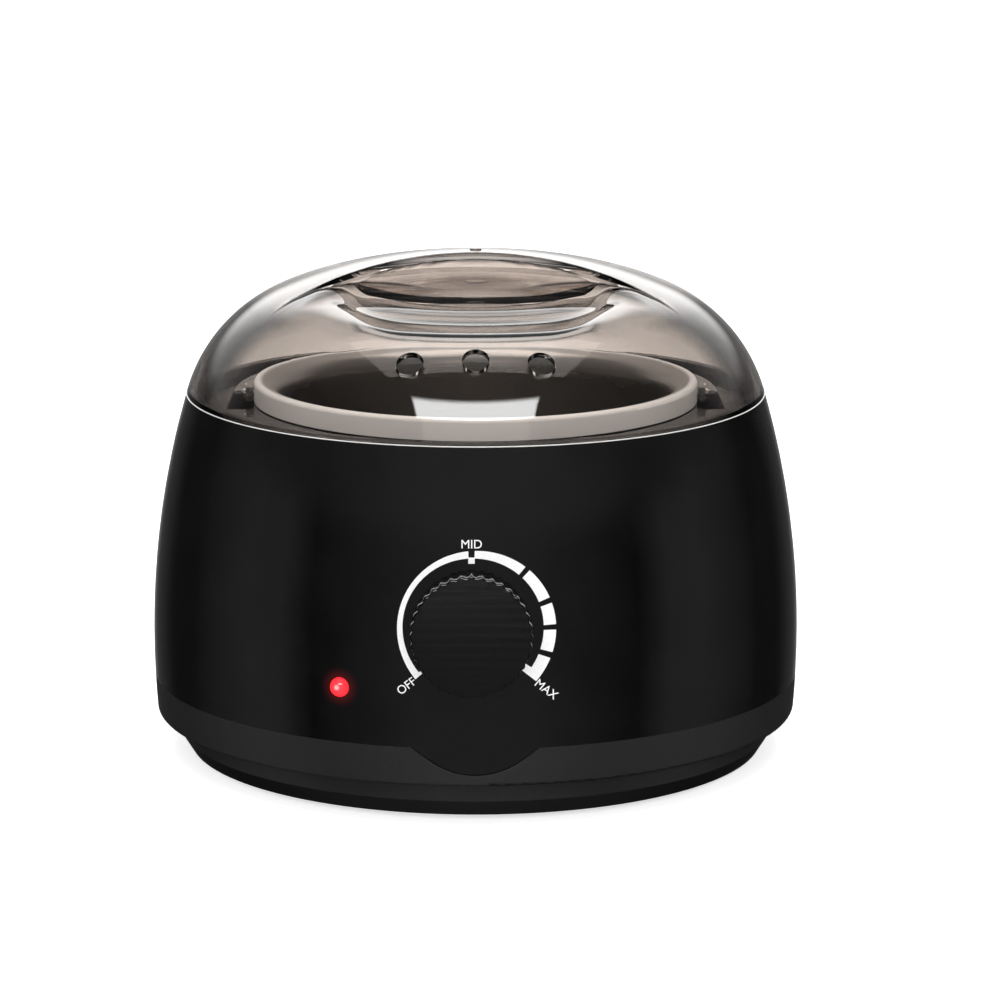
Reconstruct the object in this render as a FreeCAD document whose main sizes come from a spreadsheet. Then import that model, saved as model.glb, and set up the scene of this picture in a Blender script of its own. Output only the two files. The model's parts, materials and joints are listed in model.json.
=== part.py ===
# Candle wax melter: a barrel-shaped electric warmer with a removable wax pot, a clear lid and a dial.
# Every size below sits in the spreadsheet "Sizes"; every feature is bound to it. Millimetres, +Z up.
# The turning axis of the barrel is vertical; the dial faces -Y.
import FreeCAD, Part
import math
import os

import Sketcher

doc = FreeCAD.newDocument("wax_melter")
sheet = doc.addObject("Spreadsheet::Sheet", "Sizes")
Vector = FreeCAD.Vector


# ---------------------------------------------------------------- sizes that know their own expression

class Size:
    """A number together with the sheet expression that gives it."""

    def __init__(self, number, words):
        self.number = number
        self.words = words

    def __add__(self, other):
        return Size(value(self) + value(other), f"({words(self)} + {words(other)})")

    def __radd__(self, other):
        return Size(value(other) + value(self), f"({words(other)} + {words(self)})")

    def __sub__(self, other):
        return Size(value(self) - value(other), f"({words(self)} - {words(other)})")

    def __rsub__(self, other):
        return Size(value(other) - value(self), f"({words(other)} - {words(self)})")

    def __mul__(self, other):
        return Size(value(self) * value(other), f"({words(self)} * {words(other)})")

    def __rmul__(self, other):
        return Size(value(other) * value(self), f"({words(other)} * {words(self)})")

    def __truediv__(self, other):
        return Size(value(self) / value(other), f"({words(self)} / {words(other)})")

    def __neg__(self):
        return Size(-value(self), f"(0 - {words(self)})")


def value(term):
    return term.number if isinstance(term, Size) else float(term)


def words(term):
    return term.words if isinstance(term, Size) else repr(float(term))


def root(term):
    return Size(math.sqrt(value(term)), f"sqrt({words(term)})")


def sine(turn):
    return Size(math.sin(math.radians(value(turn))), f"sin({words(turn)} * 1 deg)")


def cosine(turn):
    return Size(math.cos(math.radians(value(turn))), f"cos({words(turn)} * 1 deg)")


def arc_sine(term):
    return Size(math.degrees(math.asin(value(term))), f"(asin({words(term)}) / 1 deg)")


def size(alias, number, meaning):
    """One driving dimension: a row of the sheet with its meaning, its number and its alias."""
    row = size.rows = getattr(size, "rows", 0) + 1
    sheet.set(f"A{row}", meaning)
    sheet.set(f"B{row}", str(number))
    sheet.setAlias(f"B{row}", alias)
    return Size(float(number), f"Sizes.{alias}")


# ---------------------------------------------------------------- driving dimensions

# Barrel and shells
body_radius = size("body_radius", 92.75, "widest radius of the barrel")
belt_height = size("belt_height", 33, "height of the widest place")
bulge_radius = size("bulge_radius", 250, "radius of the barrel's upright curve")
lid_seat = size("lid_seat", 103.7, "height of the joint under the lid")
base_joint = size("base_joint", 22.8, "height of the joint between housing and base shell")
plinth_top = size("plinth_top", 12, "height of the base shell's lower edge")
shell_wall = size("shell_wall", 2.5, "wall of housing, base shell and bottom cover")
seam = size("seam", 0.3, "gap between shells that nest")
tongue_wall = size("tongue_wall", 1.5, "wall of the housing's tongue inside the base shell")
tongue_drop = size("tongue_drop", 4, "how far the tongue reaches into the base shell")
deck_drop = size("deck_drop", 2.4, "deck below the lid joint")
tab_half_width = size("tab_half_width", 17.3, "half the width of the front tab")
tab_depth = size("tab_depth", 7.3, "depth of the front tab")
tab_round = size("tab_round", 21, "radius of the front tab's lower edge")
edge_round = size("edge_round", 1, "rounding of the base shell's lower edge")
land_margin = size("land_margin", 6, "base shell's floor inside the circle of posts")

# Bottom cover, feet and base screws
ring_set = size("ring_set", 7.45, "foot ring inside the barrel's widest place")
ring_slope = size("ring_slope", 2.8, "how far the foot ring slopes in at its lower edge")
ring_slope_height = size("ring_slope_height", 4.5, "height of the foot ring's sloping edge")
ring_land = size("ring_land", 3, "width of the foot ring's lower land")
cover_recess = size("cover_recess", 1, "bottom cover's underside above the land")
foot_proud = size("foot_proud", 1.5, "rubber feet below the foot ring")
foot_radius = size("foot_radius", 7, "radius of a rubber foot")
foot_inset = size("foot_inset", 23.3, "circle of feet inside the foot ring")
foot_recess = size("foot_recess", 0.8, "depth of a foot's seat in the cover")
post_inset = size("post_inset", 8.3, "circle of screw posts inside the foot ring")
post_radius = size("post_radius", 4.5, "radius of a screw post")
post_height = size("post_height", 30, "length of a screw post")
screw_radius = size("screw_radius", 1.5, "shank radius of a base screw")
screw_reach = size("screw_reach", 12, "how far a base screw reaches into its post")
vent_slots = 10
vent_circle = size("vent_circle", 36, "radius of the circle of air slots")
vent_length = size("vent_length", 18, "length of an air slot")
vent_width = size("vent_width", 3, "width of an air slot")

# Lid
lid_rise = size("lid_rise", 40.6, "rise of the lid above its seat")
lid_wall = size("lid_wall", 2.2, "wall of the lid")
lid_gap = size("lid_gap", 0.2, "parting gap under the lid")
crown_radius = size("crown_radius", 148, "radius of the lid's crown")
shoulder_radius = size("shoulder_radius", 45, "radius of the lid's shoulder")
lip_wall = size("lip_wall", 1.5, "wall of the lid's locating lip")
lip_drop = size("lip_drop", 1.7, "how far the lip reaches below the joint")
ridge_half = size("ridge_half", 4.6, "half the width of the finger ridge at its middle")
ridge_sweep = size("ridge_sweep", 88, "plan radius of the ridge's hollow sides")
scoop_drop = size("scoop_drop", 14.6, "floor of the scoops below the crown")
scoop_dish = size("scoop_dish", 2500, "radius of the dished scoop floor")
peg_radius = size("peg_radius", 1.6, "radius of the peg on the lid's crown")
peg_proud = size("peg_proud", 0.4, "peg above the crown")
hole_radius = size("hole_radius", 3.7, "radius of a vent hole")
hole_pitch = size("hole_pitch", 17.8, "spacing of the vent holes")
hole_inset = size("hole_inset", 23.75, "vent holes inside the barrel's widest place")
hole_lean = size("hole_lean", 42, "lean of the vent holes from upright")
hole_rise = size("hole_rise", 21.5, "vent holes above the lid joint")

# Wax pot and bail
pot_inset = size("pot_inset", 36.95, "pot's inner wall inside the barrel's widest place")
pot_wall = size("pot_wall", 1.4, "wall of the wax pot")
pot_depth = size("pot_depth", 64, "inner depth of the wax pot")
pot_rise = size("pot_rise", 6.3, "rim of the pot above the deck")
pot_corner = size("pot_corner", 8, "rounding of the pot's bottom edge, outside")
mouth_round = size("mouth_round", 6.2, "radius of the pot's flared mouth")
skirt_wall = size("skirt_wall", 1.2, "wall of the pot's skirt")
lug_thick = size("lug_thick", 2, "thickness of a lug")
lug_width = size("lug_width", 12, "width of a lug")
rivet_radius = size("rivet_radius", 1, "shank radius of a lug rivet")
rivet_spread = size("rivet_spread", 4, "distance of a rivet from the bail's pivot")
wire_radius = size("wire_radius", 1.2, "radius of the bail wire")
bail_bend = size("bail_bend", 2.5, "bend radius at the bail's ends")
bail_clear = size("bail_clear", 0.3, "straight wire outside a lug before the bend")
pivot_fit = size("pivot_fit", 0.08, "running gap of the bail in its lugs")
pocket_half = size("pocket_half", 17, "half the length of a lug pocket in the deck")
pocket_width = size("pocket_width", 7.2, "width of a lug pocket")
pocket_inset = size("pocket_inset", 2.1, "lug pocket from the deck's opening")
pocket_depth = size("pocket_depth", 5.3, "depth of a lug pocket")
pocket_wall = size("pocket_wall", 1.2, "wall round a lug pocket")

# Heating cup, heater, shield and sleeve
cup_gap = size("cup_gap", 1, "gap between pot and heating cup")
cup_wall = size("cup_wall", 2, "wall of the heating cup")
cup_margin = size("cup_margin", 0.5, "gap between cup and deck opening")
boss_drop = size("boss_drop", 4.8, "length of the cup's screw bosses under the deck")
boss_radius = size("boss_radius", 3.2, "radius of a cup screw boss")
flange_width = size("flange_width", 10.3, "reach of the cup's flange under the deck")
flange_wall = size("flange_wall", 1.5, "thickness of the cup's flange")
cup_screw_inset = size("cup_screw_inset", 4.5, "circle of cup screws inside the flange's edge")
cup_screw_radius = size("cup_screw_radius", 1.25, "shank radius of a cup screw")
stud_radius = size("stud_radius", 2.5, "radius of the stud under the cup")
heater_inset = size("heater_inset", 9.8, "heater element inside the pot's inner wall")
heater_thick = size("heater_thick", 3, "thickness of the heater element")
heater_tab_inset = size("heater_tab_inset", 4, "heater tabs inside the element's edge")
plate_inset = size("plate_inset", 8, "pressure plate inside the element's edge")
plate_thick = size("plate_thick", 1.5, "thickness of the pressure plate")
nut_height = size("nut_height", 4, "height of the stud nuts")
shield_thick = size("shield_thick", 0.8, "thickness of the heat shield")
shield_rim = size("shield_rim", 3, "height of the heat shield's rim")
sleeve_wall = size("sleeve_wall", 2.7, "thickness of the insulation sleeve")
window_radius = size("window_radius", 5, "radius of the shield's wire windows")

# Dial, thermostat and sensor
dial_height = size("dial_height", 55.7, "height of the dial's centre")
dial_side = size("dial_side", -1.1, "dial's centre to the side of the middle plane")
knob_radius = size("knob_radius", 16.4, "radius of the knob")
knob_top = size("knob_top", 13.6, "knob's face above the panel")
knob_gap = size("knob_gap", 1.2, "knob's back edge above the panel")
knob_wall = size("knob_wall", 2.4, "wall of the knob")
hub_radius = size("hub_radius", 5.6, "radius of the knob's hub")
scallops = 36
scallop_radius = size("scallop_radius", 1.35, "radius of a scallop in the knob's rim")
scallop_depth = size("scallop_depth", 0.5, "depth of a scallop")
spindle_radius = size("spindle_radius", 3, "radius of the thermostat's spindle")
spindle_flat = size("spindle_flat", 2, "spindle's flat from its axis")
spindle_fit = size("spindle_fit", 0.05, "running gap round the spindle")
bush_radius = size("bush_radius", 4.9, "radius of the threaded bush")
bush_proud = size("bush_proud", 2.9, "bush above the panel")
panel_nut_flats = size("panel_nut_flats", 13.5, "panel nut across its flats")
panel_nut_height = size("panel_nut_height", 2.3, "height of the panel nut")
panel_boss_radius = size("panel_boss_radius", 10, "radius of the boss behind the dial")
panel_boss_depth = size("panel_boss_depth", 5, "boss's inner face below the panel")
stat_width = size("stat_width", 24, "width of the thermostat's body")
stat_height = size("stat_height", 20, "height of the thermostat's body")
stat_depth = size("stat_depth", 12, "depth of the thermostat's body")
stat_plate = size("stat_plate", 1, "thickness of the thermostat's mounting plate")
bulb_radius = size("bulb_radius", 2.5, "radius of the sensor bulb")
bulb_length = size("bulb_length", 34, "length of the sensor bulb")
bulb_bottom = size("bulb_bottom", 52, "height of the bulb's lower end")
bulb_bearing = size("bulb_bearing", -50, "bearing of the sensor bulb, from +X")
sleeve_slot = size("sleeve_slot", 12, "width of the slot in the sleeve at the bulb")

# Indicator lamp
lamp_height = size("lamp_height", 38.2, "height of the indicator")
lamp_bearing = size("lamp_bearing", 23.4, "indicator's turn from the front, to the left")
lens_radius = size("lens_radius", 2.65, "radius of the indicator lens")
lens_proud = size("lens_proud", 2, "height of the lens's dome")
lens_flange = size("lens_flange", 3.5, "radius of the lens's flange")
lamp_boss_depth = size("lamp_boss_depth", 4, "lamp boss's inner face below the panel")
holder_radius = size("holder_radius", 4.2, "radius of the lamp holder")
holder_length = size("holder_length", 9, "length of the lamp holder")

# Wiring and cord gland
block_length = size("block_length", 28, "length of the terminal block")
block_width = size("block_width", 12, "width of the terminal block")
block_height = size("block_height", 10, "height of the terminal block")
lead_radius = size("lead_radius", 1.1, "radius of an internal lead")
fuse_radius = size("fuse_radius", 1.7, "radius of the thermal fuse")
fuse_length = size("fuse_length", 11, "length of the thermal fuse")
gland_bore = size("gland_bore", 3.1, "bore radius of the cord gland")
gland_radius = size("gland_radius", 4.1, "radius of the gland in its hole")
gland_flange = size("gland_flange", 5, "radius of the gland's flange")
gland_proud = size("gland_proud", 1.9, "gland's outer face beyond the shell")
gland_stand = size("gland_stand", 0.4, "flange's inner face beyond the shell")
gland_length = size("gland_length", 8, "length of the gland inside the base")

doc.recompute()


# ---------------------------------------------------------------- levels and radii worked out from them

def barrel(height):
    """Outer radius of the barrel at a height."""
    rise = height - belt_height
    return body_radius - bulge_radius + root(bulge_radius * bulge_radius - rise * rise)


cover_under = foot_proud + cover_recess
cover_floor = cover_under + shell_wall
base_floor = plinth_top + shell_wall
deck_top = lid_seat - deck_drop
deck_under = deck_top - shell_wall
seat_radius = barrel(lid_seat)
base_radius = barrel(base_joint)
ring_radius = body_radius - ring_set
ring_low_radius = ring_radius - ring_slope
post_circle = ring_radius - post_inset
base_land = post_circle - land_margin
foot_circle = ring_radius - foot_inset
hole_circle = body_radius - hole_inset

pot_radius = body_radius - pot_inset
pot_outer = pot_radius + pot_wall
skirt_radius = pot_radius + mouth_round + skirt_wall
rim_top = deck_top + pot_rise
pot_floor = rim_top - pot_depth
pot_under = pot_floor - pot_wall

cup_inner = pot_outer + cup_gap
cup_outer = cup_inner + cup_wall
cup_mouth = deck_top - cup_margin
cup_floor = pot_under - seam
cup_under = cup_floor - cup_wall
deck_opening = cup_outer + cup_margin
flange_radius = deck_opening + flange_width
cup_screw_circle = flange_radius - cup_screw_inset
flange_top = deck_under - boss_drop
flange_under = flange_top - flange_wall

heater_radius = pot_radius - heater_inset
tab_distance = heater_radius - heater_tab_inset
plate_radius = heater_radius - plate_inset
heater_under = cup_under - heater_thick
plate_under = heater_under - plate_thick
shield_top = plate_under - nut_height
shield_under = shield_top - shield_thick
sleeve_inner = cup_outer + seam
sleeve_outer = sleeve_inner + sleeve_wall

pivot_height = deck_top + seam + wire_radius
lug_gap = seam / 6
bail_radius = skirt_radius + lug_gap + lug_thick + bail_clear + bail_bend

dial_lean = arc_sine((dial_height - belt_height) / bulge_radius)
panel_radius = barrel(dial_height)
lamp_radius = barrel(lamp_height)
gland_height = (plinth_top + base_joint) / 2

# The barrel's axis stands behind the origin, so that the origin is the middle of the whole footprint.
front_reach = panel_radius + knob_top * cosine(dial_lean) + knob_radius * sine(dial_lean)
rear_reach = barrel(gland_height) + gland_proud
axis_y = (front_reach - rear_reach) / 2

AXIS = ((0, 0, 0), (0, 0, 0))
PANEL = ((dial_side, -panel_radius, dial_height), (0, 0, 90 - dial_lean))
LAMP = ((-lamp_radius * sine(lamp_bearing), -lamp_radius * cosine(lamp_bearing), lamp_height),
        (-lamp_bearing, 0, 90))
REAR = ((0, barrel(gland_height), gland_height), (0, 0, -90))


# ---------------------------------------------------------------- ways of making features

sub_parts = []


def place(made, at=(0, 0, 0), turn=(0, 0, 0)):
    """Places an object; turn holds yaw, pitch and roll in degrees."""
    spot = "; ".join(words(term) for term in at)
    lean = "; ".join(words(term) for term in turn)
    made.setExpression("Placement", f"create(<<placement>>; create(<<vector>>; {spot}); "
                                    f"create(<<rotation>>; {lean}))")
    return made


def finish(made, frame=AXIS):
    """Marks an object as a finished sub-part, standing in the given frame of the melter."""
    (x, y, z), turn = frame
    place(made, (x, axis_y + y, z), turn)
    sub_parts.append(made)
    return made


def new_body(name):
    made = doc.addObject("PartDesign::Body", name)
    made.Label = name
    return made


def sketch_on(body, role, lift=None):
    """A sketch on one of the body's own origin planes, lifted along the plane's normal."""
    drawn = body.newObject("Sketcher::SketchObject", f"{body.Name}_sketch")
    plane = next(feature for feature in body.Origin.OriginFeatures if feature.Role == role)
    drawn.AttachmentSupport = [(plane, "")]
    drawn.MapMode = "FlatFace"
    if lift is not None:
        drawn.setExpression("AttachmentOffset.Base.z", words(lift))
    return drawn


def free_sketch(name, upright=True):
    """A sketch outside any body, on the upright XZ plane or on the level XY plane."""
    drawn = doc.addObject("Sketcher::SketchObject", name)
    drawn.Placement = FreeCAD.Placement(Vector(0, 0, 0), FreeCAD.Rotation(0, 0, 90 if upright else 0))
    return drawn


def fix(sketch, kind, *where, to):
    """Adds a dimension and binds it to the sheet."""
    index = sketch.addConstraint(Sketcher.Constraint(kind, *where, value(to)))
    if isinstance(to, Size):
        sketch.setExpression(f"Constraints[{index}]", words(to))


def fix_point(sketch, geometry, spot, x, y):
    fix(sketch, "DistanceX", -1, 1, geometry, spot, to=x)
    fix(sketch, "DistanceY", -1, 1, geometry, spot, to=y)


def arc_between(start, end, radius):
    """The short arc from start to end; a positive radius turns left, a negative one right."""
    x1, y1 = start
    x2, y2 = end
    span = math.hypot(x2 - x1, y2 - y1)
    side = math.copysign(math.sqrt(max(radius * radius - span * span / 4, 0)), radius)
    cx = (x1 + x2) / 2 - side * (y2 - y1) / span
    cy = (y1 + y2) / 2 + side * (x2 - x1) / span
    first, last = (start, end) if radius > 0 else (end, start)
    begin = math.atan2(first[1] - cy, first[0] - cx)
    finish_at = math.atan2(last[1] - cy, last[0] - cx)
    while finish_at < begin:
        finish_at += 2 * math.pi
    return Part.ArcOfCircle(Part.Circle(Vector(cx, cy, 0), Vector(0, 0, 1), abs(radius)), begin, finish_at)


def outline(sketch, corners):
    """A closed outline. A corner is (x, y), or (x, y, radius) where an arc leads to it."""
    count = len(corners)
    first = sketch.GeometryCount
    begins = []
    ends = []
    for number in range(count):
        here = corners[number]
        there = corners[(number + 1) % count]
        start = (value(here[0]), value(here[1]))
        end = (value(there[0]), value(there[1]))
        if len(there) == 3:
            radius = value(there[2])
            sketch.addGeometry(arc_between(start, end, radius), False)
            begins.append(1 if radius > 0 else 2)
            ends.append(2 if radius > 0 else 1)
        else:
            sketch.addGeometry(Part.LineSegment(Vector(*start, 0), Vector(*end, 0)), False)
            begins.append(1)
            ends.append(2)
    for number in range(count):
        after = (number + 1) % count
        sketch.addConstraint(Sketcher.Constraint("Coincident", first + number, ends[number],
                                                 first + after, begins[after]))
        fix_point(sketch, first + number, begins[number], corners[number][0], corners[number][1])
        there = corners[after]
        if len(there) == 3:
            radius = there[2]
            fix(sketch, "Radius", first + number, to=radius if value(radius) > 0 else -radius)
    return sketch


def ring(sketch, x, y, radius):
    """A full circle."""
    number = sketch.GeometryCount
    sketch.addGeometry(Part.Circle(Vector(value(x), value(y), 0), Vector(0, 0, 1), value(radius)), False)
    fix_point(sketch, number, 3, x, y)
    fix(sketch, "Radius", number, to=radius)
    return sketch


def rectangle(sketch, low_x, low_y, high_x, high_y):
    return outline(sketch, [(low_x, low_y), (high_x, low_y), (high_x, high_y), (low_x, high_y)])


def turned(body, corners):
    """Revolves an outline of (radius, height) corners about the body's upright axis."""
    drawn = outline(sketch_on(body, "XZ_Plane"), corners)
    feature = body.newObject("PartDesign::Revolution", f"{body.Name}_turned")
    feature.Profile = drawn
    feature.ReferenceAxis = (drawn, ["V_Axis"])
    feature.Angle = 360
    body.Tip = feature
    return feature


def padded(body, drawn, length, down=False):
    feature = body.newObject("PartDesign::Pad", f"{body.Name}_pad")
    feature.Profile = drawn
    feature.setExpression("Length", words(length))
    feature.Reversed = down
    body.Tip = feature
    return feature


def pocketed(body, drawn, length, up=False):
    """Cuts a sketch's outline downwards, or upwards, to a length, and makes sure that it cut something."""
    doc.recompute()
    before = body.Shape.Volume
    feature = body.newObject("PartDesign::Pocket", f"{body.Name}_pocket")
    feature.Profile = drawn
    feature.setExpression("Length", words(length))
    feature.Reversed = up
    body.Tip = feature
    doc.recompute()
    if body.Shape.Volume >= before:
        raise RuntimeError(f"a pocket in {body.Name} cuts nothing")
    return feature


def repeated(body, feature, count):
    """Repeats a feature evenly about the body's upright axis."""
    pattern = body.newObject("PartDesign::PolarPattern", f"{body.Name}_pattern")
    pattern.Originals = [feature]
    pattern.Axis = (feature.Profile[0], ["N_Axis"])
    pattern.Angle = 360
    pattern.Occurrences = count
    body.Tip = pattern
    doc.recompute()
    return pattern


def cylinder(name, radius, height, at=(0, 0, 0), turn=(0, 0, 0)):
    made = doc.addObject("Part::Cylinder", name)
    made.setExpression("Radius", words(radius))
    made.setExpression("Height", words(height))
    return place(made, at, turn)


def cone(name, low_radius, high_radius, height, at=(0, 0, 0)):
    made = doc.addObject("Part::Cone", name)
    made.setExpression("Radius1", words(low_radius))
    made.setExpression("Radius2", words(high_radius))
    made.setExpression("Height", words(height))
    return place(made, at)


def box(name, low, high, turn=(0, 0, 0), pivot=(0, 0, 0)):
    """A box between two corners, then turned about a pivot."""
    made = doc.addObject("Part::Box", name)
    for side, start, end in zip(("Length", "Width", "Height"), low, high):
        made.setExpression(side, words(end - start))
    spot = "; ".join(words(term) for term in low)
    lean = "; ".join(words(term) for term in turn)
    hinge = "; ".join(words(term) for term in pivot)
    made.setExpression("Placement", "create(<<placement>>; create(<<vector>>; "
                                    f"{spot}); create(<<rotation>>; 0; 0; 0))")
    if any(value(term) for term in turn):
        made.setExpression("Placement", f"create(<<placement>>; create(<<vector>>; {hinge}); "
                                        f"create(<<rotation>>; {lean})) * create(<<placement>>; "
                                        f"create(<<vector>>; {spot}); create(<<rotation>>; 0; 0; 0))")
    return made


def nut(name, flats, height, bore, at, turn=(0, 0, 0)):
    """A six-sided nut."""
    block = doc.addObject("Part::Prism", f"{name}_block")
    block.Polygon = 6
    block.setExpression("Circumradius", words(flats / math.sqrt(3)))
    block.setExpression("Height", words(height))
    hole = cylinder(f"{name}_hole", bore, height + 2, (0, 0, -1))
    made = cut(name, block, hole)
    return place(made, at, turn)


def cut(name, base, tool):
    made = doc.addObject("Part::Cut", name)
    made.Base = base
    made.Tool = tool
    return made


def common(name, base, tool):
    made = doc.addObject("Part::Common", name)
    made.Base = base
    made.Tool = tool
    return made


def fused(name, pieces):
    made = doc.addObject("Part::MultiFuse", name)
    made.Shapes = pieces
    return made


def group(name, pieces):
    """Several like solids in one sub-part."""
    made = doc.addObject("Part::Compound", name)
    made.Links = pieces
    return made


def around(radius, bearing):
    """The point at a radius and a bearing, in degrees from +X."""
    turn = math.radians(bearing)
    return radius * math.cos(turn), radius * math.sin(turn)


QUARTERS = (45, 135, 225, 315)


def screw(name, shank_radius, reach, at, up=True):
    """A pan-head screw with a cross recess. It points up from its head, or down."""
    head_radius = shank_radius * 1.85
    head_height = shank_radius * 1.4
    shank = cylinder(f"{name}_shank", shank_radius, reach + 0.1, (0, 0, -0.1))
    head = cylinder(f"{name}_head", head_radius, head_height, (0, 0, -head_height))
    slots = []
    for number, (half_x, half_y) in enumerate(((1.3, 0.3), (0.3, 1.3))):
        slots.append(box(f"{name}_slot{number}",
                         (-half_x * shank_radius / 1.5, -half_y * shank_radius / 1.5, -head_height - 1),
                         (half_x * shank_radius / 1.5, half_y * shank_radius / 1.5, -head_height + 1)))
    made = cut(name, fused(f"{name}_blank", [shank, head]), fused(f"{name}_cross", slots))
    return place(made, at, (0, 0, 0 if up else 180))


# ---------------------------------------------------------------- main housing

def tab_outline(sketch, growth):
    """The front tab's outline: two slopes that run into a round lower edge."""
    half = tab_half_width + growth
    radius = tab_round + growth
    low = base_joint - tab_depth - growth
    high = base_joint + seam
    centre_y = value(low) + value(radius)
    reach = math.hypot(value(half), centre_y - value(base_joint))
    turn = math.atan2(value(base_joint) - centre_y, value(half)) - math.acos(value(radius) / reach)
    touch = (value(radius) * math.cos(turn), centre_y + value(radius) * math.sin(turn))
    right = math.atan2(touch[1] - centre_y, touch[0])
    left = -math.pi - right
    points = [(value(half), value(high)), (value(half), value(base_joint)), touch,
              (-touch[0], touch[1]), (-value(half), value(base_joint)), (-value(half), value(high))]
    for number in (0, 1, 3, 4, 5):
        start = points[number]
        end = points[(number + 1) % 6]
        sketch.addGeometry(Part.LineSegment(Vector(*start, 0), Vector(*end, 0)), False)
    circle = Part.Circle(Vector(0, centre_y, 0), Vector(0, 0, 1), value(radius))
    sketch.addGeometry(Part.ArcOfCircle(circle, left, right), False)
    right_side, right_slope, left_slope, left_side, top, round_edge = range(6)
    sketch.addConstraint(Sketcher.Constraint("Coincident", right_side, 2, right_slope, 1))
    sketch.addConstraint(Sketcher.Constraint("Tangent", right_slope, 2, round_edge, 2))
    sketch.addConstraint(Sketcher.Constraint("Tangent", round_edge, 1, left_slope, 1))
    sketch.addConstraint(Sketcher.Constraint("Coincident", left_slope, 2, left_side, 1))
    sketch.addConstraint(Sketcher.Constraint("Coincident", left_side, 2, top, 1))
    sketch.addConstraint(Sketcher.Constraint("Coincident", top, 2, right_side, 1))
    fix_point(sketch, right_side, 1, half, high)
    fix_point(sketch, right_side, 2, half, base_joint)
    fix_point(sketch, left_side, 1, -half, base_joint)
    fix_point(sketch, left_side, 2, -half, high)
    sketch.addConstraint(Sketcher.Constraint("PointOnObject", round_edge, 3, -2))
    fix(sketch, "DistanceY", -1, 1, round_edge, 3, to=low + radius)
    fix(sketch, "Radius", round_edge, to=radius)
    return sketch


def tab_prism(name, growth):
    """The tab's outline drawn out towards the front."""
    made = doc.addObject("Part::Extrusion", name)
    made.Base = tab_outline(free_sketch(f"{name}_sketch"), growth)
    made.DirMode = "Custom"
    made.Dir = Vector(0, -1, 0)
    made.Solid = True
    made.setExpression("LengthFwd", words(body_radius + 10))
    return made


def make_main_housing():
    shell = new_body("housing_shell")
    tongue_outer = base_radius - shell_wall - seam
    tongue_inner = tongue_outer - tongue_wall
    tongue_top = base_joint + 3
    tongue_low = base_joint - tongue_drop
    skirt_low = base_joint - tab_depth - 1
    turned(shell, [
        (barrel(skirt_low), skirt_low),
        (seat_radius, lid_seat, bulge_radius),
        (seat_radius - shell_wall, lid_seat),
        (seat_radius - shell_wall, deck_top),
        (deck_opening, deck_top),
        (deck_opening, deck_under),
        (barrel(deck_under) - shell_wall, deck_under),
        (barrel(tongue_top) - shell_wall, tongue_top, -(bulge_radius - shell_wall)),
        (tongue_inner, tongue_top),
        (tongue_inner, skirt_low),
    ])
    below = new_body("below_the_joint")
    turned(below, [
        (tongue_inner - 2, skirt_low - 2),
        (body_radius + 5, skirt_low - 2),
        (body_radius + 5, base_joint),
        (tongue_outer, base_joint),
        (tongue_outer, tongue_low),
        (tongue_inner - 2, tongue_low),
    ])
    trimmed = cut("trimmed_shell", shell, cut("below_beside_tab", below, tab_prism("tab_form", Size(0.0, "0"))))

    additions = [trimmed]
    for bearing in QUARTERS:
        x, y = around(post_circle, bearing)
        additions.append(cylinder(f"post_{bearing}", post_radius, post_height, (x, y, base_floor)))
        web_low = (post_circle, -shell_wall / 2, base_joint + 4)
        web_high = (base_radius - shell_wall / 2, shell_wall / 2, base_floor + post_height)
        additions.append(box(f"web_{bearing}", web_low, web_high, (bearing, 0, 0)))
        x, y = around(cup_screw_circle, bearing)
        additions.append(cylinder(f"cup_boss_{bearing}", boss_radius, boss_drop + 1, (x, y, flange_top)))
    pocket_inner = deck_opening + pocket_inset
    well_outer = pocket_inner + pocket_width + pocket_wall
    well_half = pocket_half + pocket_wall
    well_low = deck_top - pocket_depth - pocket_wall
    for side, turn in (("right", 0), ("left", 180)):
        additions.append(box(f"well_{side}", (pocket_inner - pocket_wall, -well_half, well_low),
                             (well_outer, well_half, deck_under + 1), (turn, 0, 0)))
    additions.append(cylinder("panel_boss", panel_boss_radius, panel_boss_depth - 1,
                              *local(PANEL, (0, 0, -panel_boss_depth))))
    additions.append(cylinder("lamp_boss", lens_flange + 1.5, lamp_boss_depth - 1,
                              *local(LAMP, (0, 0, -lamp_boss_depth))))

    removals = [
        cylinder("panel_hole", bush_radius + 0.2, panel_boss_depth + 4,
                 *local(PANEL, (0, 0, -panel_boss_depth - 1))),
        cylinder("lamp_hole", lens_radius + 0.1, lamp_boss_depth + 4, *local(LAMP, (0, 0, -lamp_boss_depth - 1))),
        box("gland_relief", (-gland_flange, tongue_inner - 2, tongue_low - 1),
            (gland_flange, body_radius + 5, base_joint - seam)),
    ]
    for bearing in QUARTERS:
        x, y = around(post_circle, bearing)
        removals.append(cylinder(f"post_pilot_{bearing}", screw_radius + 0.05, screw_reach + 3,
                                 (x, y, base_floor - 1)))
        x, y = around(cup_screw_circle, bearing)
        removals.append(cylinder(f"cup_pilot_{bearing}", cup_screw_radius + 0.05, boss_drop,
                                 (x, y, flange_top - 1)))
    for side, turn in (("right", 0), ("left", 180)):
        removals.append(box(f"pocket_{side}", (pocket_inner, -pocket_half, deck_top - pocket_depth),
                            (pocket_inner + pocket_width, pocket_half, deck_top + 1), (turn, 0, 0)))
    whole = fused("housing_blank", additions)
    return finish(cut("main_housing", whole, fused("housing_cuts", removals)))


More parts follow.
